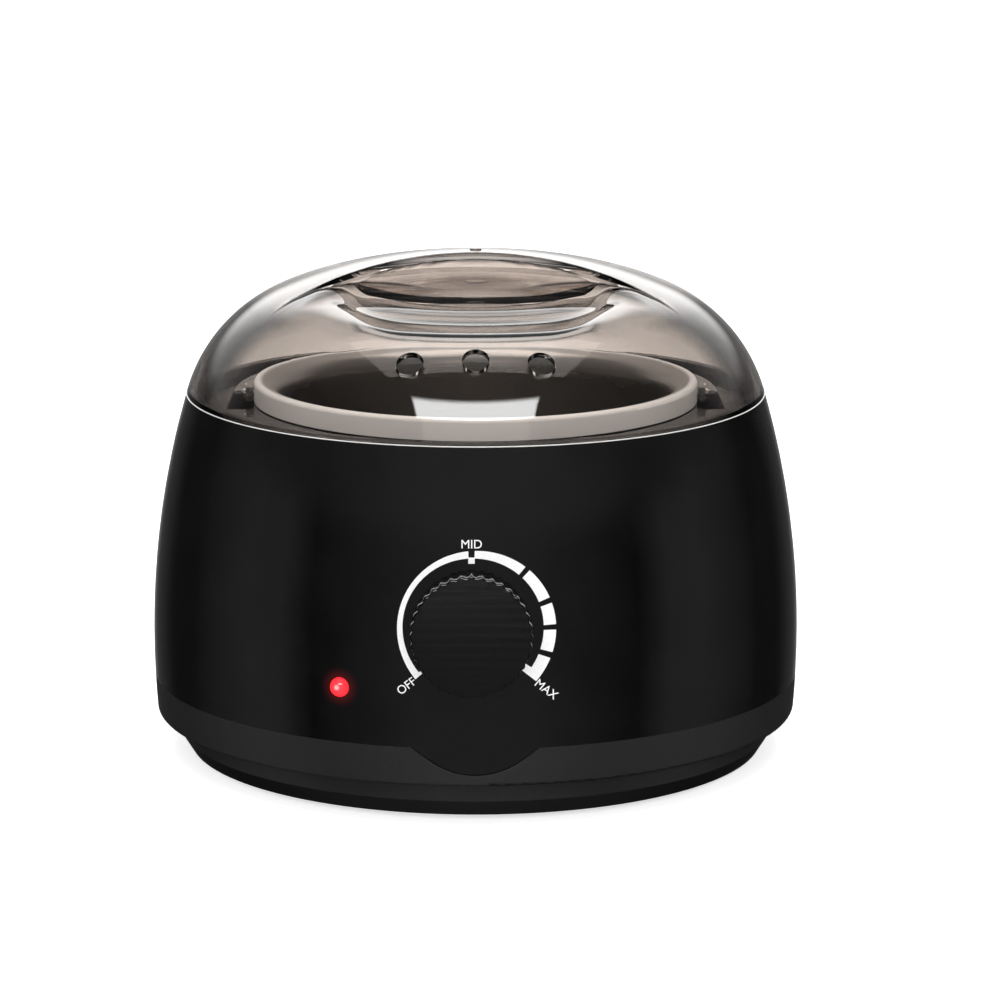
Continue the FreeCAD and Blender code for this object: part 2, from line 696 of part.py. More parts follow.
def local(frame, at):
    """A place and turn for something that stands in a leaning frame, in melter coordinates."""
    (x, y, z), (yaw, pitch, roll) = frame
    side, up, out = at
    lean_cos = cosine(roll)
    lean_sin = sine(roll)
    forward = up * lean_cos - out * lean_sin
    rise = up * lean_sin + out * lean_cos
    turn_cos = cosine(yaw)
    turn_sin = sine(yaw)
    return ((x + side * turn_cos - forward * turn_sin, y + side * turn_sin + forward * turn_cos, z + rise),
            (yaw, pitch, roll))


# ---------------------------------------------------------------- base shell and bottom cover

def make_base_shell():
    band = new_body("base_band")
    turned(band, [
        (barrel(plinth_top + edge_round) - edge_round, plinth_top),
        (barrel(plinth_top + edge_round), plinth_top + edge_round, edge_round),
        (base_radius, base_joint, bulge_radius),
        (base_radius - shell_wall, base_joint),
        (barrel(base_floor) - shell_wall, base_floor, -(bulge_radius - shell_wall)),
        (base_land, base_floor),
        (base_land, plinth_top),
    ])
    removals = [
        tab_prism("tab_notch", seam),
        cylinder("gland_hole", gland_radius + 0.1, gland_length + 4, *local(REAR, (0, 0, -gland_length - 2))),
    ]
    for bearing in QUARTERS:
        x, y = around(post_circle, bearing)
        removals.append(cylinder(f"base_hole_{bearing}", screw_radius + 0.2, shell_wall + 2,
                                 (x, y, plinth_top - 1)))
    return finish(cut("base_shell", band, fused("base_cuts", removals)))


def make_bottom_cover():
    cover = new_body("bottom_cover")
    land_inner = ring_low_radius - ring_land
    wall_inner = ring_radius - shell_wall
    turned(cover, [
        (land_inner, foot_proud),
        (ring_low_radius, foot_proud),
        (ring_radius, foot_proud + ring_slope_height),
        (ring_radius, plinth_top),
        (wall_inner, plinth_top),
        (wall_inner, cover_floor),
        (0, cover_floor),
        (0, cover_under),
        (land_inner, cover_under),
    ])
    post_x, post_y = around(post_circle, QUARTERS[0])
    seat = ring(sketch_on(cover, "XY_Plane", cover_floor), post_x, post_y, post_radius)
    repeated(cover, padded(cover, seat, plinth_top - cover_floor), 4)
    through = ring(sketch_on(cover, "XY_Plane", plinth_top), post_x, post_y, screw_radius + 0.2)
    repeated(cover, pocketed(cover, through, plinth_top), 4)
    sink = ring(sketch_on(cover, "XY_Plane", cover_floor + 1.5), post_x, post_y, screw_radius * 2.1)
    repeated(cover, pocketed(cover, sink, cover_floor), 4)
    foot_seat = ring(sketch_on(cover, "XY_Plane", cover_under + foot_recess), foot_circle, 0,
                     foot_radius + 0.2)
    repeated(cover, pocketed(cover, foot_seat, cover_floor), 4)
    slot = rectangle(sketch_on(cover, "XY_Plane", cover_floor), vent_circle - vent_length / 2,
                     -vent_width / 2, vent_circle + vent_length / 2, vent_width / 2)
    repeated(cover, pocketed(cover, slot, cover_floor), vent_slots)
    return finish(cover)


def make_rubber_feet():
    feet = []
    top = cover_under + foot_recess
    for bearing in (0, 90, 180, 270):
        x, y = around(foot_circle, bearing)
        edge = cone(f"foot_edge_{bearing}", foot_radius - 0.8, foot_radius, 0.8, (x, y, 0))
        pad = cylinder(f"foot_pad_{bearing}", foot_radius, top - 0.8, (x, y, 0.8))
        feet.append(fused(f"foot_{bearing}", [edge, pad]))
    return finish(group("rubber_feet", feet))


def make_base_screws():
    head_seat = cover_floor + 1.5
    screws = []
    for bearing in QUARTERS:
        x, y = around(post_circle, bearing)
        screws.append(screw(f"base_screw_{bearing}", screw_radius, base_floor - head_seat + screw_reach,
                            (x, y, head_seat)))
    return finish(group("base_screws", screws))


# ---------------------------------------------------------------- heating cup and what hangs under it

def make_heating_cup():
    cup = new_body("heating_cup")
    inner_round = pot_corner + cup_gap
    outer_round = inner_round + cup_wall
    turned(cup, [
        (0, cup_under),
        (cup_outer - outer_round, cup_under),
        (cup_outer, cup_under + outer_round, outer_round),
        (cup_outer, flange_under),
        (flange_radius, flange_under),
        (flange_radius, flange_top),
        (cup_outer, flange_top),
        (cup_outer, cup_mouth),
        (cup_inner, cup_mouth),
        (cup_inner, cup_floor + inner_round),
        (cup_inner - inner_round, cup_floor, -inner_round),
        (heater_radius, cup_floor),
        (heater_radius, pot_under),
        (0, pot_under),
    ])
    stud_length = cup_under - shield_under + nut_height + 1
    stud = ring(sketch_on(cup, "XY_Plane", cup_under), 0, 0, stud_radius)
    padded(cup, stud, stud_length, down=True)
    hole_x, hole_y = around(cup_screw_circle, QUARTERS[0])
    hole = ring(sketch_on(cup, "XY_Plane", flange_top), hole_x, hole_y, cup_screw_radius + 0.3)
    repeated(cup, pocketed(cup, hole, flange_wall + 1), 4)
    return finish(cup)


def make_cup_seal():
    seal = new_body("cup_seal")
    turned(seal, [
        (cup_outer + 0.1, flange_top),
        (cup_outer + 1.1, flange_top),
        (cup_outer + 1.1, deck_under - 0.1),
        (cup_outer + 0.1, deck_under - 0.1),
    ])
    return finish(seal)


def make_cup_screws():
    screws = []
    for bearing in QUARTERS:
        x, y = around(cup_screw_circle, bearing)
        screws.append(screw(f"cup_screw_{bearing}", cup_screw_radius, flange_wall + boss_drop - 1.2,
                            (x, y, flange_under)))
    return finish(group("cup_screws", screws))


def make_heater():
    disc = cylinder("heater_disc", heater_radius, heater_thick, (0, 0, heater_under))
    blades = []
    for side, middle in (("right", tab_distance), ("left", -tab_distance)):
        blades.append(box(f"heater_tab_{side}", (middle - 0.4, -3, shield_under - 3),
                          (middle + 0.4, 3, heater_under + 1)))
    hole = cylinder("heater_hole", stud_radius + 0.3, heater_thick + 2, (0, 0, heater_under - 1))
    return finish(cut("heater_element", fused("heater_blank", [disc] + blades), hole))


def make_pressure_plate():
    plate = new_body("pressure_plate")
    turned(plate, [
        (stud_radius + 0.2, plate_under),
        (plate_radius, plate_under),
        (plate_radius, heater_under),
        (stud_radius + 0.2, heater_under),
    ])
    return finish(plate)


def make_stud_nuts():
    flats = stud_radius * 3.2
    finish(group("plate_nut", [nut("plate_nut_form", flats, nut_height, stud_radius + 0.05,
                                   (0, 0, shield_top))]))
    finish(group("shield_nut", [nut("shield_nut_form", flats, nut_height - 0.5, stud_radius + 0.05,
                                    (0, 0, shield_under - nut_height + 0.5))]))


def make_heat_shield():
    shield = new_body("heat_shield")
    rim_inner = sleeve_outer + 0.4
    rim_outer = rim_inner + shield_thick
    turned(shield, [
        (stud_radius + 0.2, shield_under),
        (rim_outer, shield_under),
        (rim_outer, shield_top + shield_rim),
        (rim_inner, shield_top + shield_rim),
        (rim_inner, shield_top),
        (stud_radius + 0.2, shield_top),
    ])
    windows = sketch_on(shield, "XY_Plane", shield_top)
    ring(windows, tab_distance, 0, window_radius)
    ring(windows, -tab_distance, 0, window_radius)
    ring(windows, fuse_length / 2 + 6, FUSE_Y, window_radius)
    ring(windows, -fuse_length / 2 - 6, FUSE_Y, window_radius)
    pocketed(shield, windows, shield_thick + 1)
    return finish(shield)


def make_sleeve():
    sleeve = new_body("sleeve_tube")
    turned(sleeve, [
        (sleeve_inner, shield_top),
        (sleeve_outer, shield_top),
        (sleeve_outer, flange_under - seam),
        (sleeve_inner, flange_under - seam),
    ])
    slot = box("sleeve_slot_tool", (cup_inner, -sleeve_slot / 2, bulb_bottom - 12),
               (sleeve_outer + 5, sleeve_slot / 2, bulb_bottom + bulb_length + 3), (bulb_bearing, 0, 0))
    return finish(cut("insulation_sleeve", sleeve, slot))


# ---------------------------------------------------------------- wires and tubes

def routed(name, points, radius):
    """A round wire along straight runs joined by tangent arcs. Each point is a place in the melter."""
    spots = [Vector(*(value(term) for term in point)) for point in points]
    edges = []
    last = spots[0]
    for before, corner, after in zip(spots, spots[1:], spots[2:]):
        inward = (before - corner).normalize()
        outward = (after - corner).normalize()
        turn = math.pi - inward.getAngle(outward)
        shorter = min((before - corner).Length, (after - corner).Length)
        setback = 0.45 * shorter
        bend = setback / math.tan(turn / 2)
        start = corner + inward * setback
        end = corner + outward * setback
        middle_way = (inward + outward).normalize()
        centre = corner + middle_way * (bend / math.cos(turn / 2))
        middle = centre - middle_way * bend
        edges.append(Part.LineSegment(last, start).toShape())
        edges.append(Part.Arc(start, middle, end).toShape())
        last = end
    edges.append(Part.LineSegment(last, spots[-1]).toShape())
    path = Part.Wire(edges)
    heading = (spots[1] - spots[0]).normalize()
    profile = Part.Wire([Part.Circle(spots[0], heading, value(radius)).toShape()])
    made = doc.addObject("Part::Feature", name)
    made.Shape = path.makePipeShell([profile], True, False)
    return made


FUSE_Y = Size(18.0, "18")


def fuse_height():
    return plate_under - seam - fuse_radius


def make_thermal_fuse():
    half = fuse_length / 2
    level = fuse_height()
    can = cylinder("fuse_can", fuse_radius, fuse_length, (-half, FUSE_Y, level), (0, 90, 0))
    wires = cylinder("fuse_wires", 0.5, fuse_length + 6, (-half - 3, FUSE_Y, level), (0, 90, 0))
    finish(fused("thermal_fuse", [can, wires]))
    saddle = box("fuse_saddle", (-2.5, FUSE_Y - fuse_radius - 1.5, shield_top),
                 (2.5, FUSE_Y + fuse_radius + 1.5, plate_under))
    bore = cylinder("fuse_bore", fuse_radius + 0.1, 8, (-4, FUSE_Y, level), (0, 90, 0))
    finish(cut("fuse_clip", saddle, bore))


BLOCK_X = Size(-28.0, "-28")
BLOCK_Y = Size(40.0, "40")
PORT_PITCH = Size(8.5, "8.5")


def block_port(number):
    """The mouth of one of the block's three ports, on its front face."""
    return BLOCK_X + PORT_PITCH * (number - 1), BLOCK_Y - block_width / 2, cover_floor + block_height / 2


def make_terminal_block():
    blank = box("block_blank", (BLOCK_X - block_length / 2, BLOCK_Y - block_width / 2, cover_floor),
                (BLOCK_X + block_length / 2, BLOCK_Y + block_width / 2, cover_floor + block_height))
    removals = []
    screws = []
    for number in range(3):
        x, y, z = block_port(number)
        removals.append(cylinder(f"port_{number}", lead_radius + 0.6, block_width + 2, (x, y - 1, z),
                                 (0, 0, -90)))
        removals.append(cylinder(f"screw_well_{number}", lead_radius + 0.7, block_height / 2 + 1,
                                 (x, BLOCK_Y, z)))
        screws.append(cylinder(f"clamp_screw_{number}", lead_radius + 0.6, 3,
                               (x, BLOCK_Y, cover_floor + block_height - 4)))
    finish(cut("terminal_block", blank, fused("block_cuts", removals)))
    finish(group("terminal_screws", screws))


def stat_tab(side):
    """The lower end of one of the thermostat's tabs, in melter coordinates."""
    return local(PANEL, (side * stat_width / 4, -stat_height / 2 - 6, -panel_boss_depth - stat_depth * 0.7))[0]


def lamp_pin(side):
    """The end of one of the lamp's pins, in melter coordinates."""
    return local(LAMP, (side * 1.2, 0, -lamp_boss_depth - holder_length - 2.6))[0]


def make_leads():
    corridor = sleeve_outer + 5
    left_x, left_y, left_z = stat_tab(-1)
    right_x, right_y, right_z = stat_tab(1)
    port0, port1, port2 = (block_port(number) for number in range(3))
    fuse_end = fuse_length / 2 + 3
    level = fuse_height()
    low = cover_floor + lead_radius + 2
    inside = 4
    live = routed("lead_live", [
        (port1[0], port1[1] + inside, port1[2]),
        (port1[0] + 1, port1[1] - 14, low),
        (left_x - 3, -30, low),
        (left_x - 1, -corridor + 2, low + 6),
        (left_x, -corridor, left_z - 16),
        (left_x, left_y, left_z - 9),
        (left_x, left_y, left_z - 0.2),
    ], lead_radius)
    switched = routed("lead_switched", [
        (right_x, right_y, right_z - 0.2),
        (right_x, right_y, right_z - 9),
        (right_x, -corridor, right_z - 16),
        (right_x + 2, -corridor + 4, low + 7),
        (fuse_end + 6, -30, low + 2),
        (fuse_end + 4, value(FUSE_Y) - 6, low + 5),
        (fuse_end + 3.5, FUSE_Y, low + 14),
        (fuse_end + 2.5, FUSE_Y, level - 3),
        (fuse_end + 0.2, FUSE_Y, level),
    ], lead_radius)
    bridge = routed("lead_bridge", [
        (-fuse_end - 0.2, FUSE_Y, level),
        (-fuse_end - 2.5, FUSE_Y, level - 3),
        (-fuse_end - 4, value(FUSE_Y) - 1, low + 10),
        (-tab_distance + 8, 9, low + 7),
        (-tab_distance + 0.5, 3, low + 9),
        (-tab_distance, 0, shield_under - 8),
        (-tab_distance, 0, shield_under - 3.2),
    ], lead_radius)
    neutral = routed("lead_neutral", [
        (tab_distance, 0, shield_under - 3.2),
        (tab_distance, 0, shield_under - 8),
        (tab_distance - 3, 5, low + 8),
        (24, 24, low + 3),
        (4, 26, low),
        (port2[0] + 4, port2[1] - 12, low),
        (port2[0], port2[1] - 4, port2[2]),
        (port2[0], port2[1] + inside, port2[2]),
    ], lead_radius)
    for made in (live, switched, bridge, neutral):
        finish_wire(made)
    lamp_pair = []
    for side in (-1, 1):
        x, y, z = lamp_pin(side)
        lamp_pair.append(routed(f"lamp_lead_{'left' if side < 0 else 'right'}", [
            (x, y, z),
            (x * 0.97, y * 0.96, z - 2),
            (x * 0.93, y * 0.9, z - 12),
            (x * 0.88, y * 0.82, low + 6),
            (port0[0] + side * 2 - 3, -20, low),
            (port0[0] + side * 1.2, port0[1] - 12, low),
            (port0[0] + side * 0.8, port0[1] - 0.5, port0[2]),
        ], 0.7))
    finish(group("lamp_leads", lamp_pair))


def finish_wire(made):
    """A routed wire's shape is already in the melter's own coordinates."""
    return finish(made)


# ---------------------------------------------------------------- thermostat, sensor and knob

def make_thermostat():
    back = panel_boss_depth + stat_plate
    half_width = stat_width / 2
    half_height = stat_height / 2
    plate = box("stat_plate_blank", (-half_width, -half_height, -back), (half_width, half_height, -panel_boss_depth))
    plate_hole = cylinder("stat_plate_hole", bush_radius + 0.05, 4, (0, 0, -back - 1))
    finish(cut("thermostat_plate", plate, plate_hole), PANEL)

    block = box("stat_block", (-half_width + 1, -half_height + 1, -back - stat_depth),
                (half_width - 1, half_height - 1, -back))
    tabs = []
    for number, side in enumerate((-1, 1)):
        middle = side * stat_width / 4
        tabs.append(box(f"stat_tab_{number}",
                        (middle - 0.4, -half_height - 6, -panel_boss_depth - stat_depth * 0.7 - 2),
                        (middle + 0.4, -half_height + 2, -panel_boss_depth - stat_depth * 0.7 + 2)))
    bore = cylinder("stat_bore", spindle_radius + 0.1, stat_depth, (0, 0, -back - stat_depth / 2 - 0.5))
    finish(cut("thermostat_body", fused("stat_blank", [block] + tabs), bore), PANEL)

    bush = new_body("thermostat_bush")
    turned(bush, [
        (spindle_radius + spindle_fit, -back),
        (bush_radius, -back),
        (bush_radius, bush_proud),
        (spindle_radius + spindle_fit, bush_proud),
    ])
    finish(bush, PANEL)
    finish(group("thermostat_nut", [nut("panel_nut_form", panel_nut_flats, panel_nut_height,
                                        bush_radius + 0.05, (0, 0, 0.3))]), PANEL)

    rod = cylinder("spindle_rod", spindle_radius, back + stat_depth / 2 + knob_top - knob_wall - 0.4,
                   (0, 0, -back - stat_depth / 2))
    flat = box("spindle_flat_tool", (-spindle_radius - 1, spindle_flat, bush_proud + 0.8),
               (spindle_radius + 1, spindle_radius + 1, knob_top))
    finish(cut("thermostat_spindle", rod, flat), PANEL)


def make_sensor():
    bulb_circle = cup_outer + seam + bulb_radius
    turn = bulb_bearing
    x = bulb_circle * cosine(turn)
    y = bulb_circle * sine(turn)
    bulb = cylinder("bulb_can", bulb_radius, bulb_length, (x, y, bulb_bottom))
    out_x = (bulb_circle + 6) * cosine(turn)
    out_y = (bulb_circle + 6) * sine(turn)
    end_x, end_y, end_z = local(PANEL, (stat_width / 2 - 0.8, 0, -panel_boss_depth - stat_depth * 0.6))[0]
    capillary = routed("capillary", [
        (x, y, bulb_bottom + 1),
        (x, y, bulb_bottom - 5),
        (out_x, out_y, bulb_bottom - 9),
        (out_x * 0.8, out_y * 1.18, bulb_bottom - 4),
        (end_x + 13, end_y + 1, end_z - 3),
        (end_x + 7, end_y, end_z),
        (end_x, end_y, end_z),
    ], 0.8)
    finish(fused("sensor_bulb", [bulb, capillary]))
    clip_low = bulb_bottom + bulb_length / 2 - 4
    block = box("bulb_clip_block", (cup_outer + 0.1, -bulb_radius - 1.2, clip_low),
                (bulb_circle + bulb_radius + 1, bulb_radius + 1.2, clip_low + 8), (bulb_bearing, 0, 0))
    bore = cylinder("bulb_clip_bore", bulb_radius + 0.05, 10, (x, y, clip_low - 1))
    wall = cylinder("bulb_clip_wall", cup_outer + 0.1, 10, (0, 0, clip_low - 1))
    finish(cut("bulb_clip", block, fused("bulb_clip_cuts", [bore, wall])))


def make_knob():
    knob = new_body("knob")
    roof = knob_top - knob_wall
    rim = ring(sketch_on(knob, "XY_Plane", knob_gap), 0, 0, knob_radius)
    padded(knob, rim, knob_top - knob_gap)
    reach = knob_radius - scallop_depth + scallop_radius
    scallop = ring(sketch_on(knob, "XY_Plane", knob_top), 0, reach, scallop_radius)
    repeated(knob, pocketed(knob, scallop, knob_top), scallops)
    hub_low = bush_proud + 0.8
    under = ring(sketch_on(knob, "XY_Plane", knob_gap), 0, 0, knob_radius - knob_wall)
    pocketed(knob, under, hub_low - knob_gap, up=True)
    hollow = sketch_on(knob, "XY_Plane", hub_low)
    ring(hollow, 0, 0, knob_radius - knob_wall)
    ring(hollow, 0, 0, hub_radius)
    pocketed(knob, hollow, roof - hub_low, up=True)
    bore = sketch_on(knob, "XY_Plane", hub_low)
    bore_radius = spindle_radius + spindle_fit
    flat = spindle_flat + spindle_fit
    half_chord = root(bore_radius * bore_radius - flat * flat)
    outline(bore, [
        (half_chord, flat, bore_radius),
        (-half_chord, flat),
        (0, -bore_radius, bore_radius),
    ])
    pocketed(knob, bore, roof - hub_low, up=True)
    return finish(knob, PANEL)


def make_knob_spring():
    spring = new_body("spring_ring")
    low = bush_proud + 3
    turned(spring, [
        (hub_radius + 0.05, low),
        (hub_radius + 0.7, low),
        (hub_radius + 0.7, low + 2.5),
        (hub_radius + 0.05, low + 2.5),
    ])
    gap = box("spring_gap", (0, -0.8, low - 1), (hub_radius + 2, 0.8, low + 4))
    return finish(cut("knob_spring", spring, gap), PANEL)


# ---------------------------------------------------------------- indicator and cord gland

def make_indicator():
    back = lamp_boss_depth + 1
    dome = (lens_radius * lens_radius + lens_proud * lens_proud) / (2 * lens_proud)
    lens = new_body("indicator_lens")
    turned(lens, [
        (0, -back),
        (lens_flange, -back),
        (lens_flange, -lamp_boss_depth),
        (lens_radius, -lamp_boss_depth),
        (lens_radius, 0.4),
        (0, 0.4 + lens_proud, dome),
    ])
    finish(lens, LAMP)
    holder = new_body("lamp_holder")
    turned(holder, [
        (2.5, -back - holder_length),
        (holder_radius, -back - holder_length),
        (holder_radius, -back),
        (2.5, -back),
    ])
    finish(holder, LAMP)
    glow = cylinder("lamp_glass", 2.4, holder_length - 1.5, (0, 0, -back - holder_length + 1))
    pins = [cylinder(f"lamp_pin_{number}", 0.35, 3, (side * 1.2, 0, -back - holder_length - 1.5))
            for number, side in enumerate((-1, 1))]
    finish(fused("indicator_lamp", [glow] + pins), LAMP)


def make_gland():
    gland = new_body("cable_gland")
    turned(gland, [
        (gland_bore, -gland_length),
        (gland_radius, -gland_length),
        (gland_radius, gland_stand),
        (gland_flange, gland_stand),
        (gland_flange - 0.6, gland_proud),
        (gland_bore, gland_proud),
    ])
    return finish(gland, REAR)


# ---------------------------------------------------------------- wax pot and bail

def make_wax_pot():
    pot = new_body("pot_spun")
    inner_corner = pot_corner - pot_wall
    flare_x = pot_radius + mouth_round
    flare_y = rim_top - mouth_round
    under_round = mouth_round - pot_wall
    skirt_low = deck_top + seam
    turned(pot, [
        (0, pot_under),
        (pot_outer - pot_corner, pot_under),
        (pot_outer, pot_under + pot_corner, pot_corner),
        (pot_outer, flare_y),
        (flare_x, flare_y + under_round, -under_round),
        (flare_x, skirt_low),
        (skirt_radius, skirt_low),
        (skirt_radius, rim_top - skirt_wall),
        (flare_x, rim_top, skirt_wall),
        (pot_radius, flare_y, mouth_round),
        (pot_radius, pot_floor + inner_corner),
        (pot_radius - inner_corner, pot_floor, -inner_corner),
        (0, pot_floor),
    ])
    holes = [cylinder(f"rivet_hole_{side}_{number}", rivet_radius + 0.05, 8,
                      (skirt_radius - 5 if side > 0 else -skirt_radius - 3, spot, pivot_height + 0.8),
                      (0, 90, 0))
             for side in (-1, 1) for number, spot in enumerate((-rivet_spread, rivet_spread))]
    return finish(cut("wax_pot", pot, fused("pot_holes", holes)))


def lug_span(side):
    """Where a lug starts and ends along X, on the right (1) or left (-1)."""
    near = skirt_radius + lug_gap
    far = near + lug_thick
    return (near, far) if side > 0 else (-far, -near)


def make_lugs():
    lugs = []
    rivets = []
    half = lug_width / 2
    for side in (-1, 1):
        low_x, high_x = lug_span(side)
        plate = box(f"lug_plate_{side + 1}", (low_x, -half, deck_top + seam), (high_x, half, rim_top - 2))
        holes = [cylinder(f"lug_pivot_{side + 1}", wire_radius + pivot_fit, lug_thick + 2,
                          (low_x - 1, 0, pivot_height), (0, 90, 0))]
        for number, spot in enumerate((-rivet_spread, rivet_spread)):
            holes.append(cylinder(f"lug_rivet_hole_{side + 1}_{number}", rivet_radius + 0.05, lug_thick + 2,
                                  (low_x - 1, spot, pivot_height + 0.8), (0, 90, 0)))
            shank = cylinder(f"rivet_shank_{side + 1}_{number}", rivet_radius,
                             lug_thick + skirt_wall + 0.9,
                             (skirt_radius - skirt_wall - 0.4 if side > 0 else low_x - 0.4, spot,
                              pivot_height + 0.8), (0, 90, 0))
            head = cylinder(f"rivet_head_{side + 1}_{number}", rivet_radius * 1.7, 0.7,
                            (high_x + 0.02 if side > 0 else low_x - 0.72, spot, pivot_height + 0.8),
                            (0, 90, 0))
            rivets.append(fused(f"rivet_{side + 1}_{number}", [shank, head]))
        lugs.append(cut(f"lug_{side + 1}", plate, fused(f"lug_holes_{side + 1}", holes)))
    finish(group("pot_lugs", lugs))
    finish(group("lug_rivets", rivets))


def make_bail():
    """A round wire: two short pivots through the lugs and a half circle round the back of the skirt."""
    reach = bail_radius
    tip = skirt_radius + 0.5
    level = value(pivot_height)
    bend = value(bail_bend)
    end_x = value(reach)
    tip_x = value(tip)
    corner = bend * (1 - math.sqrt(0.5))
    right_bend = Part.Arc(Vector(end_x - bend, 0, level), Vector(end_x - corner, corner, level),
                          Vector(end_x, bend, level))
    sweep = Part.Arc(Vector(end_x, bend, level), Vector(0, bend + end_x, level), Vector(-end_x, bend, level))
    left_bend = Part.Arc(Vector(-end_x, bend, level), Vector(-end_x + corner, corner, level),
                         Vector(-end_x + bend, 0, level))
    path = Part.Wire([
        Part.LineSegment(Vector(tip_x, 0, level), Vector(end_x - bend, 0, level)).toShape(),
        right_bend.toShape(),
        sweep.toShape(),
        left_bend.toShape(),
        Part.LineSegment(Vector(-end_x + bend, 0, level), Vector(-tip_x, 0, level)).toShape(),
    ])
    profile = Part.Wire([Part.Circle(Vector(tip_x, 0, level), Vector(1, 0, 0), value(wire_radius)).toShape()])
    made = doc.addObject("Part::Feature", "bail_wire")
    made.Shape = path.makePipeShell([profile], True, False)
    return finish(made)


# ---------------------------------------------------------------- lid

def dome_arcs(sketch, seat, inner):
    """Crown and shoulder arcs of the lid, tangent to each other, from the axis down to the seat."""
    apex = value(lid_seat + lid_rise)
    crown = value(crown_radius)
    shoulder = value(shoulder_radius)
    centre_gap = crown - shoulder
    from_x = value(seat)
    from_y = value(lid_seat) - (apex - crown)
    span = math.hypot(from_x, from_y)
    spread = math.acos((span ** 2 + centre_gap ** 2 - shoulder ** 2) / (2 * span * centre_gap))
    join = math.atan2(from_x, from_y) - spread
    low_centre = Vector(centre_gap * math.sin(join), apex - crown + centre_gap * math.cos(join), 0)
    top_centre = Vector(0, apex - crown, 0)
    thick = value(lid_wall) if inner else 0.0
    upward = Vector(0, 0, 1)
    foot = math.asin((value(lid_seat) - low_centre.y) / (shoulder - thick))
    first = sketch.GeometryCount
    sketch.addGeometry(Part.ArcOfCircle(Part.Circle(top_centre, upward, crown - thick),
                                        math.pi / 2 - join, math.pi / 2), False)
    sketch.addGeometry(Part.ArcOfCircle(Part.Circle(low_centre, upward, shoulder - thick),
                                        foot, math.pi / 2 - join), False)
    sketch.addConstraint(Sketcher.Constraint("Tangent", first, 1, first + 1, 2))
    sketch.addConstraint(Sketcher.Constraint("PointOnObject", first, 2, -2))
    if inner:
        sketch.addConstraint(Sketcher.Constraint("PointOnObject", first, 3, -2))
        fix(sketch, "Radius", first, to=crown_radius - lid_wall)
        fix(sketch, "Radius", first + 1, to=shoulder_radius - lid_wall)
        fix(sketch, "DistanceY", -1, 1, first + 1, 1, to=lid_seat + lid_gap)
    else:
        sketch.addConstraint(Sketcher.Constraint("PointOnObject", first, 3, -2))
        fix(sketch, "Radius", first, to=crown_radius)
        fix(sketch, "Radius", first + 1, to=shoulder_radius)
        fix(sketch, "DistanceY", -1, 1, first, 2, to=lid_seat + lid_rise)
        fix_point(sketch, first + 1, 1, seat, lid_seat + lid_gap)
    return first


def revolved(name, sketch):
    """A solid of revolution about the melter's axis, from a sketch outside any body."""
    made = doc.addObject("Part::Revolution", name)
    made.Source = sketch
    made.Axis = Vector(0, 0, 1)
    made.Base = Vector(0, 0, 0)
    made.Angle = 360
    made.Solid = True
    return made


def link(sketch, geometry, spot, other, other_spot):
    """A straight line between two ends that are already there."""
    number = sketch.GeometryCount
    start = sketch.getPoint(geometry, spot)
    end = sketch.getPoint(other, other_spot)
    sketch.addGeometry(Part.LineSegment(start, end), False)
    sketch.addConstraint(Sketcher.Constraint("Coincident", number, 1, geometry, spot))
    sketch.addConstraint(Sketcher.Constraint("Coincident", number, 2, other, other_spot))
    return number


def dome_solid(name):
    """The lid's full outer form, as if it had no ridge and no hollow."""
    drawn = free_sketch(f"{name}_sketch")
    arcs = dome_arcs(drawn, seat_radius, False)
    number = drawn.GeometryCount
    seat = lid_seat + lid_gap
    drawn.addGeometry(Part.LineSegment(Vector(0, value(lid_seat + lid_rise), 0), Vector(0, value(seat), 0)), False)
    drawn.addGeometry(Part.LineSegment(Vector(0, value(seat), 0), Vector(value(seat_radius), value(seat), 0)), False)
    drawn.addConstraint(Sketcher.Constraint("Coincident", number, 1, arcs, 2))
    drawn.addConstraint(Sketcher.Constraint("Coincident", number, 2, number + 1, 1))
    drawn.addConstraint(Sketcher.Constraint("Coincident", number + 1, 2, arcs + 1, 1))
    fix_point(drawn, number, 2, 0, seat)
    return revolved(name, drawn)


def dome_shell(name):
    """The lid's wall between its outer and inner curves."""
    drawn = free_sketch(f"{name}_sketch")
    outer = dome_arcs(drawn, seat_radius, False)
    inner = dome_arcs(drawn, seat_radius, True)
    drawn.addConstraint(Sketcher.Constraint("Coincident", outer + 1, 3, inner + 1, 3))
    link(drawn, outer, 2, inner, 2)
    link(drawn, inner + 1, 1, outer + 1, 1)
    return revolved(name, drawn)


def dish(name, drop):
    """Everything above the dished floor of the scoops."""
    level = lid_seat + lid_rise - scoop_drop - drop
    reach = seat_radius + 5
    edge = level + scoop_dish - root(scoop_dish * scoop_dish - reach * reach)
    drawn = outline(free_sketch(f"{name}_sketch"), [
        (0, level),
        (reach, edge, scoop_dish),
        (reach, lid_seat + lid_rise + 10),
        (0, lid_seat + lid_rise + 10),
    ])
    return revolved(name, drawn)


def ridge_prism(name, inset):
    """The finger ridge's plan, narrow in the middle, drawn out upwards."""
    half = ridge_half - inset
    sweep = ridge_sweep + inset
    reach = seat_radius * 0.78
    flare = half + sweep - root(sweep * sweep - reach * reach)
    drawn = outline(free_sketch(f"{name}_sketch", upright=False), [
        (0, half, -sweep),
        (-reach, flare, -sweep),
        (-reach, -flare),
        (0, -half, -sweep),
        (reach, -flare, -sweep),
        (reach, flare),
    ])
    made = doc.addObject("Part::Extrusion", name)
    made.Base = drawn
    made.DirMode = "Custom"
    made.Dir = Vector(0, 0, 1)
    made.Solid = True
    made.setExpression("LengthFwd", words(lid_seat + lid_rise + 10))
    return made


